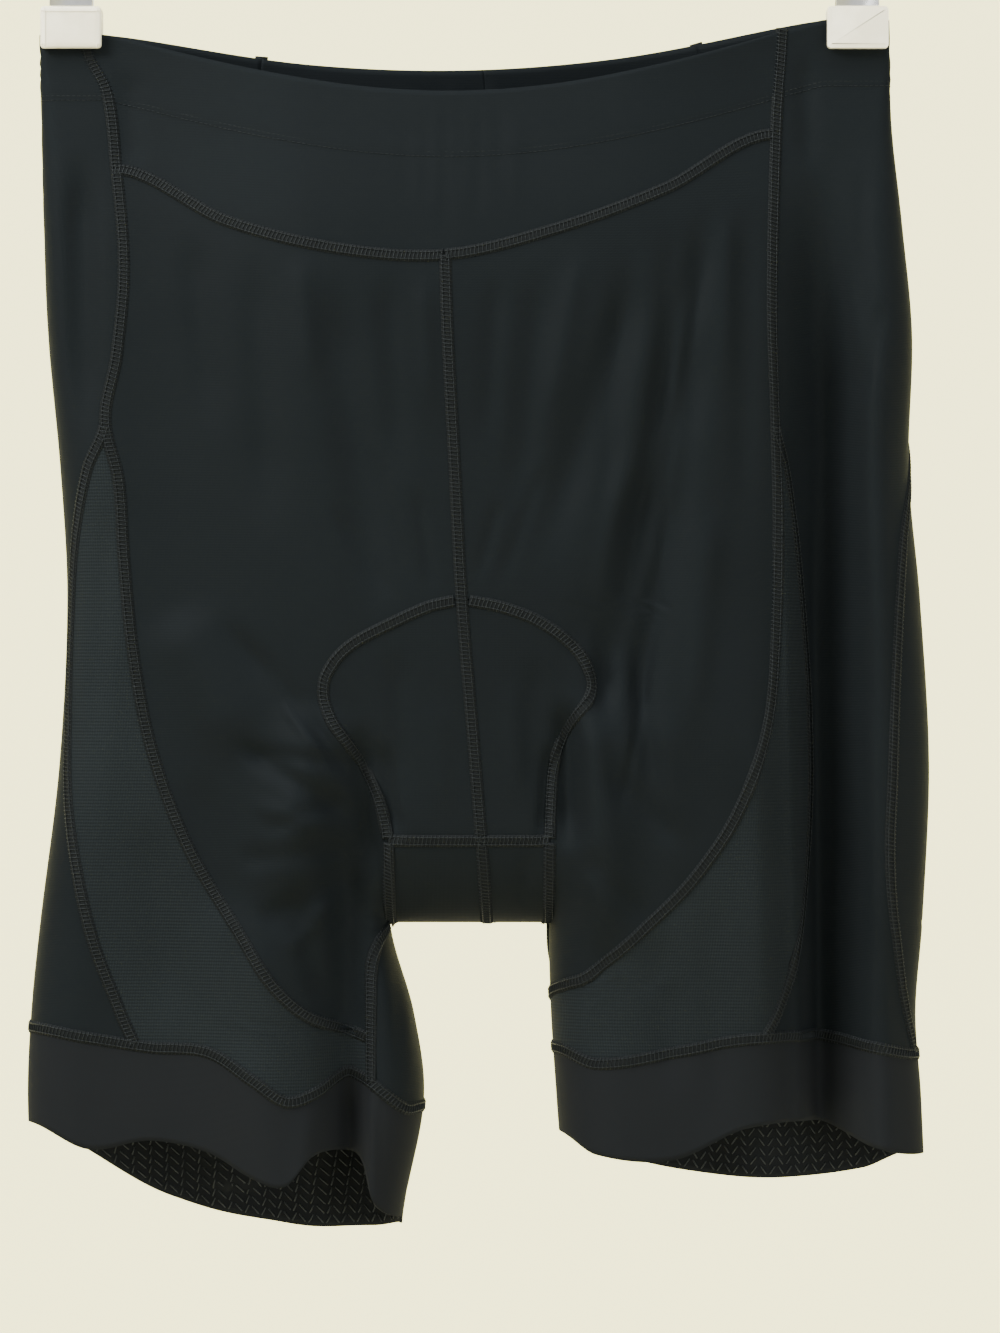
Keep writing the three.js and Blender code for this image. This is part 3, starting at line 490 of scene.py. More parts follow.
# Closed wall between an outer and an inner grid of points: its outer faces, and all of them
def wallFaces(rows, columns, isRing):
    inside = rows * columns
    outerFaces = gridQuads(rows, columns, isRing)
    innerFaces = outerFaces[:, [0, 3, 2, 1]] + inside
    c = np.arange(columns if isRing else columns - 1)
    after = (c + 1) % columns
    foot = (rows - 1) * columns
    rims = [
        np.stack([c, after, inside + after, inside + c], axis=1),
        np.stack([foot + after, foot + c, inside + foot + c, inside + foot + after], axis=1),
    ]
    if not isRing:
        a = np.arange(rows - 1) * columns
        b = a + columns - 1
        rims.append(np.stack([a, inside + a, inside + a + columns, a + columns], axis=1))
        rims.append(np.stack([b, b + columns, inside + b + columns, inside + b], axis=1))
    return outerFaces, np.concatenate([outerFaces, innerFaces, *rims])


def cuffEdge(side, column):
    return lambda x, isFront: byLayer(isFront, lambda layer: lookUp(cuffRows[(side, layer)], x, column))


def waistEdge(x, isFront):
    return byLayer(isFront, lambda layer: waistDrop(x, layer))


def constantEdge(drop):
    return lambda x, isFront: np.full(np.shape(x), float(drop))


# First guesses of an edge's drop, and how the true one is then found
search = {"top": 60.0, "foot": 458.0, "waist": 40.0, "yoke": 50.0, "cuffSeam": 480.0, "rounds": 40,
          "step": 0.5}


# Grid of drops and distances along for a panel between two seams. Each column's two ends are found
# first, on the top and foot edges, and its rows are then spaced evenly between them.
def panelGrid(side, near, far, top, foot, size, isRing):
    columns, rows = (round(length / cell) for length, cell in zip(size, form["cell"]))
    u = np.linspace(0, 1, columns + 1)
    if isRing:
        u = u[:-1]
    v = np.linspace(0, 1, rows + 1)[:, None]
    share = 1 - u if side == "left" else u

    def alongAt(drop):
        return seamAt(side, near, drop) * (1 - share) + seamAt(side, far, drop) * share

    ends = []
    for edge, guess in ((top, search["top"]), (foot, search["foot"])):
        drop = np.full(u.shape, guess)
        for _ in range(search["rounds"]):
            i, t = levelIndex(drop)
            x, isFront = onLevel(side, i, alongAt(drop))
            nextX, _ = onLevel(side, i + 1, alongAt(drop))
            drop = drop + search["step"] * (edge(x + (nextX - x) * t, isFront) - drop)
        ends.append(drop[None, :])
    high, low = ends
    drop = high + (low - high) * v
    return drop, alongAt(drop), drop - high


# At a sharp edge a lone normal can turn over: it takes the mean of those around it
def steady(normals):
    padded = np.pad(normals, ((1, 1), (1, 1), (0, 0)), "edge")
    around = unit(padded[:-2, 1:-1] + padded[2:, 1:-1] + padded[1:-1, :-2] + padded[1:-1, 2:])
    isStray = (normals * around).sum(axis=2, keepdims=True) < 0.3
    return np.where(isStray, around, normals)


flatSizes = {}


# Cloth on a grid of places. Above the casing's seam it is doubled, so it stands out on both faces.
def makeShell(name, points, normals, across, drop, below, material, casingLift=0.0, isRing=False):
    doubled = 0.5 - 0.5 * np.tanh((below - waist["casing"]) / waist["casingEdge"])
    lift = (form["lift"] + casingLift * doubled)[..., None]
    outer = points + normals * lift
    inner = outer - normals * (form["cloth"] + 2 * (lift - form["lift"]))
    outerFaces, faces = wallFaces(*drop.shape, isRing)
    uv = np.stack([across, -drop], axis=-1).reshape(-1, 2)
    both = np.concatenate([outer.reshape(-1, 3), inner.reshape(-1, 3)])
    makePiece(name, both, faces.tolist(), material, np.concatenate([uv, uv]))
    quads = both[outerFaces]
    halves = (np.cross(quads[:, 1] - quads[:, 0], quads[:, 2] - quads[:, 0])
              + np.cross(quads[:, 2] - quads[:, 0], quads[:, 3] - quads[:, 0]))
    flatSizes[name] = float(np.linalg.norm(halves, axis=1).sum() / 2) * 1e-6


def addPanel(name, side, near, far, top, foot, size, material, casingLift=0.0, isRing=False):
    drop, along, below = panelGrid(side, near, far, top, foot, size, isRing)
    normals = steady(outward(side, drop, along))
    makeShell(name + side.title(), surface(side, drop, along), normals, along - outerAt(side, drop), drop,
              below, material, casingLift, isRing)


# Tubes along many short centre lines at once, with closed ends
def tubeMesh(centres, first, second, radii, sides):
    count, length = centres.shape[:2]
    angle = np.arange(sides) * 2 * np.pi / sides
    ring = (first[:, :, None] * np.cos(angle)[None, None, :, None]
            + second[:, :, None] * np.sin(angle)[None, None, :, None])
    points = centres[:, :, None] + ring * np.asarray(radii)[None, :, None, None]
    base = (np.arange(count) * length * sides)[:, None]
    faces = (base[..., None] + gridQuads(length, sides, True)[None, :, [0, 3, 2, 1]]).reshape(-1, 4)
    start = base + np.arange(sides)[None, ::-1]
    end = base + (length - 1) * sides + np.arange(sides)[None, :]
    return points.reshape(-1, 3), faces.tolist() + start.tolist() + end.tolist()


def joinParts(name, parts, material):
    points, faces, base = [], [], 0
    for partPoints, partFaces in parts:
        points.append(partPoints)
        faces.extend([[index + base for index in face] for face in partFaces])
        base += len(partPoints)
    makePiece(name, np.concatenate(points), faces, material)


# A line on the cloth, set out again with an even pitch
def clothLine(side, drop, along, pitch, isClosed=False):
    drop, along = bothFloats(drop, along)
    points = surface(side, drop, along)
    length = np.concatenate([[0], np.cumsum(np.linalg.norm(np.diff(points, axis=0), axis=1))])
    at = np.linspace(0, length[-1], max(3, round(length[-1] / pitch)) + 1)
    fromOuter = np.interp(at, length, along - outerAt(side, drop))
    drop = np.interp(at, length, drop)
    along = fromOuter + outerAt(side, drop)
    points = surface(side, drop, along)
    normal = outward(side, drop, along)
    tangent = np.gradient(points, axis=0)
    if isClosed:
        tangent[0] = tangent[-1] = points[1] - points[-2]
        normal[-1] = normal[0]
    tangent = unit(tangent - normal * (tangent * normal).sum(axis=1, keepdims=True))
    return {"points": points, "normal": normal, "tangent": tangent, "across": np.cross(normal, tangent),
            "length": length[-1]}


# Materials, all made of nodes. A pattern's value runs from a dark or worn colour to a light one.
knitLook = {
    "stretchKnit": {"dark": (0.0032, 0.0042, 0.0050), "light": (0.0070, 0.0090, 0.0107), "rough": 0.54,
                    "pitch": 1.15, "bump": 0.35},
    "meshKnit": {"dark": (0.0034, 0.0044, 0.0052), "light": (0.0117, 0.0150, 0.0172), "rough": 0.60,
                 "pitch": 2.3, "bump": 0.9},
    "cuffKnit": {"dark": (0.0051, 0.0059, 0.0071), "light": (0.0095, 0.0107, 0.0125), "rough": 0.66,
                 "pitch": 0.8, "bump": 0.25},
}
# The stitch net's weight in the tone paints the stitch tops lighter and the hollows darker: painted highlight
# and shade
knitPattern = {"flatter": 0.8, "stitchNetAndPaintedShade": 0.42, "slow": 0.5, "slowScale": 9.0, "lint": 0.16, "lintScale": 900.0,
               "stops": (0.12, 0.85), "uneven": 0.16, "relief": 0.00022}
knitShader = {"Specular IOR Level": 0.035, "Specular Tint": (0.84, 0.96, 1.0, 1), "Sheen Weight": 0.012,
              "Sheen Roughness": 0.45, "Sheen Tint": (0.72, 0.78, 0.8, 1)}
threadLook = {"twist": 1400.0, "stops": (0.3, 0.75), "bump": 0.35, "relief": 0.0001}
threadShader = {"Specular IOR Level": 0.2, "Specular Tint": (0.84, 0.95, 1.0, 1)}
hardLook = {"stops": (0.42, 0.6), "uneven": 0.14, "bump": 0.12, "relief": 0.0002}


def newMaterial(name):
    material = bpy.data.materials.new(name)
    material.use_nodes = True
    return material, material.node_tree, material.node_tree.nodes["Principled BSDF"]


def setInputs(node, values):
    for name, value in values.items():
        node.inputs[name].default_value = value


def mathNode(tree, operation, *values):
    node = tree.nodes.new("ShaderNodeMath")
    node.operation = operation
    for socket, value in zip(node.inputs, values):
        if isinstance(value, (int, float)):
            socket.default_value = value
        else:
            tree.links.new(value, socket)
    return node.outputs[0]


def noiseNode(tree, scale, detail=2.0):
    body = tree.nodes.new("ShaderNodeTexCoord")
    noise = tree.nodes.new("ShaderNodeTexNoise")
    setInputs(noise, {"Scale": scale, "Detail": detail})
    tree.links.new(body.outputs["Object"], noise.inputs["Vector"])
    return noise.outputs["Fac"]


def colourBy(tree, shader, value, stops, colours):
    ramp = tree.nodes.new("ShaderNodeValToRGB")
    for element, position, colour in zip(ramp.color_ramp.elements, stops, colours):
        element.position = position
        element.color = (*colour, 1)
    tree.links.new(value, ramp.inputs[0])
    tree.links.new(ramp.outputs["Color"], shader.inputs["Base Color"])


def bumpBy(tree, shader, height, strength, distance):
    bump = tree.nodes.new("ShaderNodeBump")
    setInputs(bump, {"Strength": strength, "Distance": distance})
    tree.links.new(height, bump.inputs["Height"])
    tree.links.new(bump.outputs["Normal"], shader.inputs["Normal"])


# Knit: a fine diamond net of stitches, raised as a bump and also painted lighter on the stitch tops and
# darker in the hollows (painted highlight and shade), slow changes of tone, and a trace of lint
def knitMaterial(name):
    look, pattern = knitLook[name], knitPattern
    material, tree, shader = newMaterial(name)
    place = tree.nodes.new("ShaderNodeUVMap")
    place.uv_map = "cloth"
    split = tree.nodes.new("ShaderNodeSeparateXYZ")
    tree.links.new(place.outputs["UV"], split.inputs[0])
    turns = 2 * math.pi / (look["pitch"] * 0.001)
    across = mathNode(tree, "MULTIPLY", split.outputs["X"], turns)
    down = mathNode(tree, "MULTIPLY", split.outputs["Y"], turns * pattern["flatter"])
    leaning = mathNode(tree, "SINE", mathNode(tree, "ADD", across, down))
    rising = mathNode(tree, "SINE", mathNode(tree, "SUBTRACT", across, down))
    stitchNetAndPaintedShade = mathNode(tree, "MULTIPLY_ADD", mathNode(tree, "MULTIPLY", leaning, rising), 0.5, 0.5)
    slow = noiseNode(tree, pattern["slowScale"], 3.0)
    lint = noiseNode(tree, pattern["lintScale"])
    tone = mathNode(tree, "MULTIPLY", slow, pattern["slow"])
    # Painted highlight and shade: the stitch net, which is also the bump's height, lightens the raised stitch
    # tops and darkens the hollows
    tone = mathNode(tree, "MULTIPLY_ADD", stitchNetAndPaintedShade, pattern["stitchNetAndPaintedShade"], tone)
    tone = mathNode(tree, "MULTIPLY_ADD", lint, pattern["lint"], tone)
    colourBy(tree, shader, tone, pattern["stops"], (look["dark"], look["light"]))
    rough = mathNode(tree, "MULTIPLY_ADD", slow, pattern["uneven"], look["rough"])
    tree.links.new(rough, shader.inputs["Roughness"])
    setInputs(shader, knitShader)
    bumpBy(tree, shader, stitchNetAndPaintedShade, look["bump"], pattern["relief"])
    return material


# Spun sewing thread: soft gloss, with its twist as a fine bump
def threadMaterial(name, dark, light, roughness):
    material, tree, shader = newMaterial(name)
    twist = noiseNode(tree, threadLook["twist"])
    colourBy(tree, shader, twist, threadLook["stops"], (dark, light))
    setInputs(shader, {**threadShader, "Roughness": roughness})
    bumpBy(tree, shader, twist, threadLook["bump"], threadLook["relief"])
    return material


# Hard finishes: moulded plastic and plating, with handling marks
def hardMaterial(name, worn, base, roughness, metallic, grain):
    material, tree, shader = newMaterial(name)
    marks = noiseNode(tree, grain, 5.0)
    colourBy(tree, shader, marks, hardLook["stops"], (worn, base))
    rough = mathNode(tree, "MULTIPLY_ADD", marks, hardLook["uneven"], roughness)
    tree.links.new(rough, shader.inputs["Roughness"])
    setInputs(shader, {"Metallic": metallic})
    bumpBy(tree, shader, marks, hardLook["bump"], hardLook["relief"])
    return material


knit, meshKnit, cuffKnit = (knitMaterial(name) for name in knitLook)
seamTape = threadMaterial("seamAllowance", (0.0010, 0.0013, 0.0016), (0.0024, 0.0031, 0.0037), 0.8)
seamThread = threadMaterial("seamThread", (0.0018, 0.0024, 0.0029), (0.0066, 0.0082, 0.0095), 0.5)
gripRubber = threadMaterial("gripRubber", (0.013, 0.0145, 0.0155), (0.028, 0.031, 0.033), 0.4)
padPlastic = hardMaterial("padPlastic", (0.80, 0.77, 0.60), (0.90, 0.87, 0.70), 0.30, 0.0, 60.0)
chrome = hardMaterial("chromePlate", (0.60, 0.61, 0.62), (0.78, 0.79, 0.80), 0.10, 1.0, 35.0)
print("materials ready")

# Cloth shells, one for each cut panel: name, side, the two seams it lies between, its top and foot
# edges, and about how wide and high it is, which sets its number of faces
frontFoot = {"left": 449.6, "right": 432.6}
widths = {
    "left": {"front": 150, "insert": 110, "side": 105, "back": 180, "cuff": 385},
    "right": {"front": 150, "insert": 90, "side": 125, "back": 205, "cuff": 385},
}
casingLift = waist["casingLift"]
for side in sideNames:
    cuffSeam, width = cuffEdge(side, 1), widths[side]
    addPanel("frontShell", side, "inner", "front", lambda x, isFront: yokeDrop(x),
             constantEdge(frontFoot[side]), (width["front"], 350), knit)
    addPanel("insertShell", side, "front", "insert", constantEdge(seamsPart), cuffSeam,
             (width["insert"], 275), meshKnit)
    addPanel("sideShell", side, "sideFront", "sideBack", waistEdge, cuffSeam, (width["side"], 445), knit,
             casingLift)
    addPanel("backShell", side, "sideBack", "seat", waistEdge, cuffSeam, (width["back"], 455), knit,
             casingLift)
    addPanel("cuffShell", side, "zero", "total", cuffSeam, cuffEdge(side, 2), (width["cuff"], 46), cuffKnit,
             isRing=True)
print("panels made")


# Place on either layer by x and drop, for the pieces that cross the middle
def middlePlace(x, drop, isFront):
    drop = np.broadcast_to(drop, x.shape)
    y = byLayer(isFront, lambda layer: np.where(
        x < form["middleX"], clothY("left", layer, x, drop, True), clothY("right", layer, x, drop, True)))
    return np.stack([x, y, form["waistZ"] - drop], axis=-1)


# Shell of a piece whose place function gives points, x, a drop and how far below the waist they lie,
# from shares across and down
def addMiddleShell(name, place, columns, rows, casingLift=0.0):
    u, v = np.meshgrid(np.linspace(0, 1, columns + 1), np.linspace(0, 1, rows + 1))
    e = form["finestShare"]
    under = place(u, v + e)[0] - place(u, v - e)[0]
    over = place(u + e, v)[0] - place(u - e, v)[0]
    points, across, drop, below = place(u, v)
    makeShell(name, points, unit(np.cross(under, over)), across, drop, below, knit, casingLift)


def between(first, second, share):
    low, high = np.minimum(first, second), np.maximum(first, second)
    return low + (high - low) * share


def yokePlace(u, v):
    drop = np.full(u.shape, search["yoke"])
    for _ in range(6):
        left, right = lookUp(frontSeam["left"], drop), lookUp(frontSeam["right"], drop)
        x = left + (right - left) * u
        high = waistDrop(x, "front")
        drop = high + (yokeDrop(x) - high) * v
    return middlePlace(x, drop, True), x, drop, drop - high


# The rows stand closer at the top, where the gusset's outline is round
def gussetPlace(side):
    top, power = form["gussetTop"] + form["gussetGap"], 1.5

    def place(u, v):
        drop = top + (form["gussetFoot"] - top) * np.abs(v) ** power * np.sign(v)
        x = between(section("centre", drop), lookUp(gussetSeam[side], drop), u)
        return middlePlace(x, drop, True), x, drop, drop
    return place


# The strip under the crotch: first its front part, then its longer back part
def rearGussetPlace(side):
    frontReach = crotch - form["gussetFoot"]
    backReach = crotch - form["rearGussetTop"] - form["gussetGap"]
    backRows = 1.2    # for each one of the front's

    def place(u, v):
        turn = v * (1 + backRows)
        turn = (turn - 1) * np.pi / 2 * np.where(turn < 1, 1, 1 / backRows)
        isFront = turn < 0
        drop = crotch - np.where(isFront, frontReach, backReach) * (1 - np.cos(turn))
        middle = np.where(isFront, section("centre", drop), section("seat", drop))
        x = between(middle, np.where(isFront, innerX[side], lookUp(seatSeam[side], drop)), u)
        down = 2 * crotch - drop * np.where(isFront, -1, 1)
        return middlePlace(x, drop, isFront), x, down, drop
    return place


addMiddleShell("yokeShell", yokePlace, 120, 30, casingLift)
for side in sideNames:
    addMiddleShell("gussetShell" + side.title(), gussetPlace(side), 24, 44)
    addMiddleShell("seatShell" + side.title(), rearGussetPlace(side), 18, 60)
print("yoke and gussets made")

# Flatlock seams: a low ridge, slanting cover threads like a ladder, and rows of needle loops
flatlock = {
    "pitch": 1.75,
    "ridge": [(-2.9, -0.35), (-2.55, 0.2), (-1.3, 0.42), (0, 0.5), (1.3, 0.42), (2.55, 0.2), (2.9, -0.35)],
    "cover": [(-2.75, 0.22), (-1.4, 0.6), (0, 0.68), (1.4, 0.6), (2.75, 0.22)],
    "sides": 5,
    "coverRadius": [0.18, 0.27, 0.27, 0.27, 0.18],
    "lean": 0.34,
    "needleRows": (-1.55, 1.55),
    "needle": {"lift": 0.72, "radius": [0.13, 0.31, 0.31, 0.13], "reach": [-0.56, -0.22, 0.22, 0.56]},
}


def ridgeMesh(line):
    profile = np.array(flatlock["ridge"])
    lift = form["lift"]
    sections = (line["points"][:, None] + line["across"][:, None] * profile[None, :, :1]
                + line["normal"][:, None] * (profile[None, :, 1:] + lift))
    count, around = sections.shape[:2]
    faces = gridQuads(count, around, True).tolist()
    faces.append(list(range(around)))
    faces.append([(count - 1) * around + k for k in reversed(range(around))])
    return sections.reshape(-1, 3), faces


def alongTubes(centres, normals, radii, sides):
    direction = unit(np.gradient(centres, axis=1))
    first = unit(normals - direction * (normals * direction).sum(axis=2, keepdims=True))
    return tubeMesh(centres, first, np.cross(direction, first), radii, sides)


# Threads at a line's middles between points: offsets across, lifts and shifts along of each point
def threadsOn(line, across, lift, shift, radii):
    places = (line["points"][:-1] + line["points"][1:]) / 2
    normals = np.repeat(line["normal"][:-1][:, None], len(radii), axis=1)
    centres = (places[:, None] + line["across"][:-1][:, None] * across + normals * (lift + form["lift"])
               + line["tangent"][:-1][:, None] * shift)
    return alongTubes(centres, normals, radii, flatlock["sides"])


def coverMesh(line):
    shape = np.array(flatlock["cover"])[None]
    reach = flatlock["pitch"] * flatlock["lean"]
    lean = np.linspace(-reach, reach, shape.shape[1])[None, :, None]
    return threadsOn(line, shape[..., :1], shape[..., 1:], lean, flatlock["coverRadius"])


def needleMesh(line, offset, look):
    spacing = np.linalg.norm(line["points"][1:] - line["points"][:-1], axis=1)[:, None, None]
    return threadsOn(line, offset, look["lift"], spacing * np.array(look["reach"])[None, :, None],
                     look["radius"])


def steps(start, end, count=200):
    return np.linspace(start, end, count)


# Drops where a ring round one half, at shares of its length, meets an edge
def ringDrops(side, share, edge, guess, rounds=8):
    drop = np.full(share.shape, guess)
    for _ in range(rounds):
        i, _ = levelIndex(drop)
        drop = edge(*onLevel(side, i, share * seamAt(side, "total", drop)))
    return drop


# Drops of a seam from a start down to where it meets the cuff
def downToCuff(side, name, start):
    drop = steps(start, 484, 400)
    along = seamAt(side, name, drop)
    i, _ = levelIndex(drop)
    keep = drop < cuffEdge(side, 1)(*onLevel(side, i, along))
    return drop[keep], along[keep]


# Drops that go round under the crotch, in quarter turns from its lowest point
def underCrotch(start, end, height, gap, count):
    return crotch - gap - height * (1 - np.cos(steps(start, end, count) * np.pi / 2))


seamLines = {"Front": [], "Side": [], "Seat": [], "Cuff": []}


def sew(group, side, drop, along, isClosed=False):
    seamLines[group].append(clothLine(side, drop, along, flatlock["pitch"], isClosed))


# Ends of the seams: in x for the yoke's and the one at the gusset's foot, else in drop
seamEnds = {
    "left": {"yoke": (-155, -9), "front": (6.9, 449.6), "sideTop": 14.5, "foot": (-33, 8)},
    "right": {"yoke": (-9, 137), "front": (3.8, 433), "sideTop": 9, "foot": (8, 37.5)},
}
for side in sideNames:
    ends = seamEnds[side]
    x = steps(*ends["yoke"], 120)
    sew("Front", side, yokeDrop(x), alongOf(side, "front", x, yokeDrop(x)))
    drop = steps(*ends["front"])
    sew("Front", side, drop, seamAt(side, "front", drop))
    sew("Side", side, *downToCuff(side, "insert", seamsPart + 3))
    sew("Side", side, *downToCuff(side, "sideBack", ends["sideTop"]))
    drop = np.concatenate([steps(form["gussetTop"] + 0.6, 300, 80), steps(301, 362, 60)])
    sew("Seat", side, drop, seamAt(side, "gusset", drop))
    drop = underCrotch(0, 1, 36, 0.2, 90)
    sew("Seat", side, drop, alongOf(side, "front", np.full(drop.shape, innerX[side]), drop))
    drop = underCrotch(0, 1, 81, 0.2, 90)
    sew("Seat", side, drop, seamAt(side, "seatSide", drop))
    x = steps(*ends["foot"], 40)
    drop = np.full(x.shape, form["gussetFoot"])
    sew("Seat", side, drop, alongOf(side, "front", x, drop))
    sew("Cuff", side, *downToCuff(side, "inseam", crotch + 1))
    share = steps(0, 1, 401)
    drop = ringDrops(side, share, cuffEdge(side, 1), search["cuffSeam"])
    sew("Cuff", side, drop, share * seamAt(side, "total", drop), True)
drop = np.concatenate([steps(106.5, 340, 160), underCrotch(-1, 0, 59, 0.3, 80)])
sew("Front", "right", drop, np.zeros(len(drop)))
drop = np.concatenate([underCrotch(0, 1, 59, 0.3, 80), steps(340, 20.5, 200)])
sew("Seat", "right", drop, seamAt("right", "total", drop))

for group, lines in seamLines.items():
    joinParts("seamRidge" + group, [ridgeMesh(line) for line in lines], seamTape)
    threads = [coverMesh(line) for line in lines]
    for offset in flatlock["needleRows"]:
        threads += [needleMesh(line, offset, flatlock["needle"]) for line in lines]
    joinParts("seamThread" + group, threads, seamThread)
    print("seams", group, round(sum(line["length"] for line in lines)), "mm")

# The waist casing's two needle rows
casing = {"pitch": 2.3, "rows": (27.4, 29.4), "lift": 0.12, "radius": [0.08, 0.19, 0.19, 0.08],
          "reach": [-0.4, -0.2, 0.2, 0.4], "ends": (0.0015, 0.9985)}
casingThreads = []
for side in sideNames:
    for below in casing["rows"]:
        share = steps(*casing["ends"], 500)
        drop = ringDrops(side, share, lambda x, isFront: waistEdge(x, isFront) + below, search["waist"])
        line = clothLine(side, drop, share * seamAt(side, "total", drop), casing["pitch"])
        casingThreads.append(needleMesh(line, 0.0, casing))
joinParts("casingStitches", casingThreads, seamThread)
print("casing sewn")

# Gripper print inside the cuffs: short dashes in herringbone columns
grip = {"columnWidth": 4.0, "rowHeight": 4.2, "rows": 12, "length": 4.3, "turn": 0.61, "margin": 3.4,
        "seamGap": 1.5, "edgeGap": 3.6, "stand": 0.1, "radius": 0.32, "endRadius": 0.12,
        "seamGuess": 460.0, "hemGuess": 500.0}
for side in sideNames:
    columns = round(float(seamAt(side, "total", 490.0)) / grip["columnWidth"])
    share, row = np.meshgrid((np.arange(columns) + 0.5) / columns, np.arange(grip["rows"]))
    lean = np.where(np.arange(columns)[None, :] % 2 == 0, 1, -1) * np.ones((grip["rows"], 1))
    high = ringDrops(side, share, cuffEdge(side, 1), grip["seamGuess"], 6)
    low = ringDrops(side, share, cuffEdge(side, 2), grip["hemGuess"], 6)
    middleDrop = low - grip["margin"] - row * grip["rowHeight"]
    keep = middleDrop > high + grip["seamGap"]
    whole = seamAt(side, "total", middleDrop)
    for edge in (0, whole, outerAt(side, middleDrop)):
        keep &= np.abs(share * whole - edge) > grip["edgeGap"]
    shift = grip["length"] / 2 * np.array([-1, -0.86, 0, 0.86, 1])[None, :]
    drop = middleDrop[keep][:, None] + shift * np.cos(grip["turn"])
    along = (share * whole)[keep][:, None] + shift * np.sin(grip["turn"]) * lean[keep][:, None]
    normals = outward(side, drop, along)
    centres = surface(side, drop, along) + normals * (form["lift"] - form["cloth"] - grip["stand"])
    radii = [grip["endRadius"], grip["radius"], grip["radius"], grip["radius"], grip["endRadius"]]
    joinParts("gripDashes" + side.title(), [alongTubes(centres, normals, radii, 6)], gripRubber)
    print("gripper", side, int(keep.sum()))

# Grip pads: moulded blocks with soft corners and a slightly raised outer face
pad = {"corner": 1.6, "edge": 0.5, "frame": 1.4, "slope": 0.6, "crown": 0.25, "smoothBelow": 35}


# Opens a mesh for editing with only the wanted edges or faces selected
def editOnly(mesh, kind, wanted):
    bpy.ops.object.mode_set(mode="OBJECT")
    for items in (mesh.vertices, mesh.edges, mesh.polygons):
        for item in items:
            item.select = False
    for item in mesh.edges if kind == "EDGE" else mesh.polygons:
        item.select = bool(wanted(item))
    bpy.ops.object.mode_set(mode="EDIT")
    bpy.ops.mesh.select_mode(type=kind)


def addPad(name, node):
    low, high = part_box(node)
    bpy.ops.object.select_all(action="DESELECT")
    bpy.ops.mesh.primitive_cube_add(size=1, location=(low + high) / 2)
    piece = named(name)
    piece.scale = high - low
    bpy.ops.object.transform_apply(location=True, rotation=True, scale=True)
    mesh = piece.data
    depthOf = [vertex.co.y for vertex in mesh.vertices]
    editOnly(mesh, "EDGE", lambda edge: abs(depthOf[edge.vertices[0]] - depthOf[edge.vertices[1]]) > 0.001)
    bpy.ops.mesh.bevel(offset=pad["corner"] * 0.001, segments=5, affect="EDGES")
    out = -1 if (low.y + high.y) < 0 else 1
    editOnly(mesh, "FACE", lambda polygon: polygon.normal.y * out > 0.9)
    bpy.ops.mesh.inset(thickness=pad["frame"] * 0.001)
    bpy.ops.mesh.inset(thickness=pad["slope"] * 0.001, depth=pad["crown"] * 0.001)
    bpy.ops.object.mode_set(mode="OBJECT")
    soften = piece.modifiers.new("soften", "BEVEL")
    soften.width = pad["edge"] * 0.001
    soften.segments = 3
    soften.limit_method = "ANGLE"
    bpy.ops.object.modifier_apply(modifier="soften")
    bpy.ops.object.shade_smooth_by_angle(angle=math.radians(pad["smoothBelow"]))
    mesh.materials.clear()
    mesh.materials.append(padPlastic)
    pieces[name] = piece
    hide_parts(node)


for side in sideNames:
    for layer in ("front", "back"):
        addPad("pad" + layer.title() + side.title(), f"clip_pad_{layer}_{side}")

# Clip pins: a domed rivet on each face of each clip
rivet = {"x": 174.2, "z": -98.0, "radius": 2.6, "height": 1.1}
for side in sideNames:
    for layer in ("front", "back"):
        low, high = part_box(f"clip_slider_{side}")
        y = low.y if layer == "front" else high.y
        x = rivet["x"] * (-1 if side == "left" else 1)
        bpy.ops.object.select_all(action="DESELECT")
        bpy.ops.mesh.primitive_uv_sphere_add(segments=20, ring_count=10, radius=rivet["radius"] * 0.001,
                                             location=(x * 0.001, y, rivet["z"] * 0.001))
        piece = named("rivet" + layer.title() + side.title())
        piece.scale = (1, rivet["height"] / rivet["radius"], 1)
        bpy.ops.object.transform_apply(location=True, rotation=True, scale=True)
        bpy.ops.object.shade_smooth()
        piece.data.materials.append(chrome)
        pieces[piece.name] = piece

# The hanger's own solids keep their shapes and get plating, eased edges and smooth shading
hangerEdge = {"width": 0.00025, "weld": 0.00001}    # in metres
for node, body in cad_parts.items():
    if node.startswith(("hanger", "bar_", "hook", "clip_slider", "clip_jaw")):
        body.data.materials.clear()
        body.data.materials.append(chrome)
        weld = body.modifiers.new("weld", "WELD")
        weld.merge_threshold = hangerEdge["weld"]
        body.data.polygons.foreach_set("use_smooth", np.ones(len(body.data.polygons), bool))
        if node == "hanger_hook":
            rounder = body.modifiers.new("round", "SUBSURF")
            rounder.levels = rounder.render_levels = 1
        else:
            eased = body.modifiers.new("edges", "BEVEL")
            eased.width = hangerEdge["width"]
            eased.segments = 2
            eased.limit_method = "ANGLE"
            eased.harden_normals = True
print("hanger finished")

# Riding, and the node that each shell stands for, which is hidden; each entry also lists a finish name
standsFor = {
    "frontShell": ("front_", "knit"), "insertShell": ("insert_", "mesh_knit"), "sideShell": ("side_", "knit"),
    "backShell": ("back_", "knit"), "gussetShell": ("gusset_front_", "knit"),
    "seatShell": ("gusset_rear_", "knit"), "cuffShell": ("cuff_", "cuff_knit"),
}
stands = {
    start + side.title(): (node + side, slot)
    for start, (node, slot) in standsFor.items() for side in sideNames
}
stands["yokeShell"] = ("yoke_front", "knit")
for name, piece in pieces.items():
    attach(piece, "root")
    if name in stands:
        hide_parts(stands[name][0])

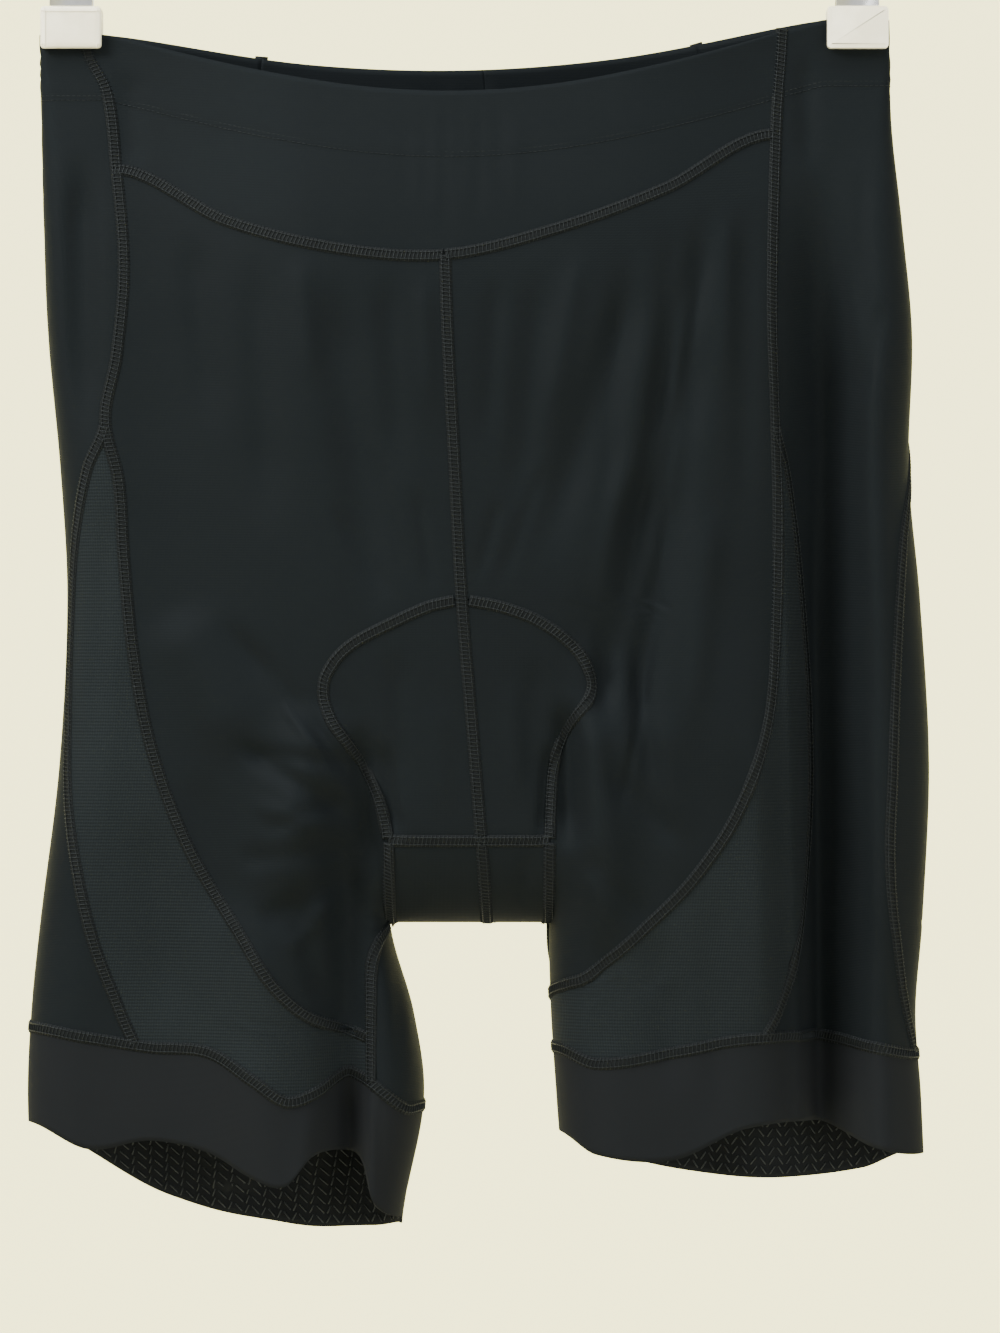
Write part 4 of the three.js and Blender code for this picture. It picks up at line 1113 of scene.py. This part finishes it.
# The cut: each sheet's width and length before sewing, and its area, in metres
sheets = {
    "yokeShell": (0.335, 0.095, 0.0198),
    "frontShellLeft": (0.150, 0.365, 0.0409), "frontShellRight": (0.145, 0.365, 0.0399),
    "insertShellLeft": (0.095, 0.310, 0.0139), "insertShellRight": (0.085, 0.295, 0.0129),
    "sideShellLeft": (0.125, 0.475, 0.0491), "sideShellRight": (0.125, 0.470, 0.0390),
    "backShellLeft": (0.185, 0.475, 0.0622), "backShellRight": (0.230, 0.475, 0.0800),
    "gussetShellLeft": (0.062, 0.107, 0.0052), "gussetShellRight": (0.056, 0.107, 0.0042),
    "seatShellLeft": (0.050, 0.160, 0.0063), "seatShellRight": (0.032, 0.160, 0.0037),
    "cuffShellLeft": (0.400, 0.056, 0.0194), "cuffShellRight": (0.385, 0.052, 0.0177),
}
for name in sheets:
    print("sheet", name, sheets[name], round(flatSizes[name], 4))

# Backdrop, light and camera, in metres. The wall stands far back, so views from behind stay free.
stageLook = {
    "wall": {"size": 24, "location": (0, 6.0, 0), "rotation": (math.pi / 2, 0, 0), "glow": 2.2,
             "colour": (1.0, 0.96, 0.52)},
    "floor": {"size": 60, "location": (0, 0, -1.6), "rotation": (0, 0, 0), "glow": 0,
              "colour": (0.90, 0.87, 0.72)},
}
for name, look in stageLook.items():
    bpy.ops.object.select_all(action="DESELECT")
    bpy.ops.mesh.primitive_plane_add(**{key: look[key] for key in ("size", "location", "rotation")})
    plane = named(name)
    material, _, shader = newMaterial(name)
    colour = (*look["colour"], 1)
    setInputs(shader, {"Base Color": colour, "Roughness": 0.9, "Emission Color": colour,
                       "Emission Strength": look["glow"]})
    plane.data.materials.append(material)


def addLight(name, location, target, size, power, colour):
    light = bpy.data.lights.new(name, "AREA")
    light.shape = "RECTANGLE"
    light.size, light.size_y = size
    light.energy = power
    light.color = colour
    aim = mathutils.Vector(target) - mathutils.Vector(location)
    placed(name, light, location, aim.to_track_quat("-Z", "Y").to_euler())


lights = {
    "keyLight": ((-1.5, -1.15, 0.95), (0, 0, -0.4), (0.9, 0.9), 102, (1.0, 0.97, 0.92)),
    "fillLight": ((1.7, -1.9, -0.2), (0, 0, -0.4), (1.6, 1.6), 44, (1.0, 0.98, 0.94)),
    "topLight": ((0.0, -0.5, 1.4), (0, 0.0, -0.3), (1.6, 0.7), 32, (1.0, 0.98, 0.94)),
}
for name, (location, target, size, power, colour) in lights.items():
    addLight(name, location, target, size, power, colour)
world = bpy.data.worlds.new("softRoom")
world.use_nodes = True
setInputs(world.node_tree.nodes["Background"], {"Color": (1.0, 0.985, 0.94, 1), "Strength": 1.05})
bpy.context.scene.world = world

view = {"location": (0.0158, -2.4, -0.4147), "lens": 146.1, "sensor": 36, "nearest": 0.02}
camera = bpy.data.cameras.new("camera")
camera.lens = view["lens"]
camera.sensor_width = view["sensor"]
camera.clip_start = view["nearest"]
bpy.context.scene.camera = placed("camera", camera, view["location"], (math.pi / 2, 0, 0))
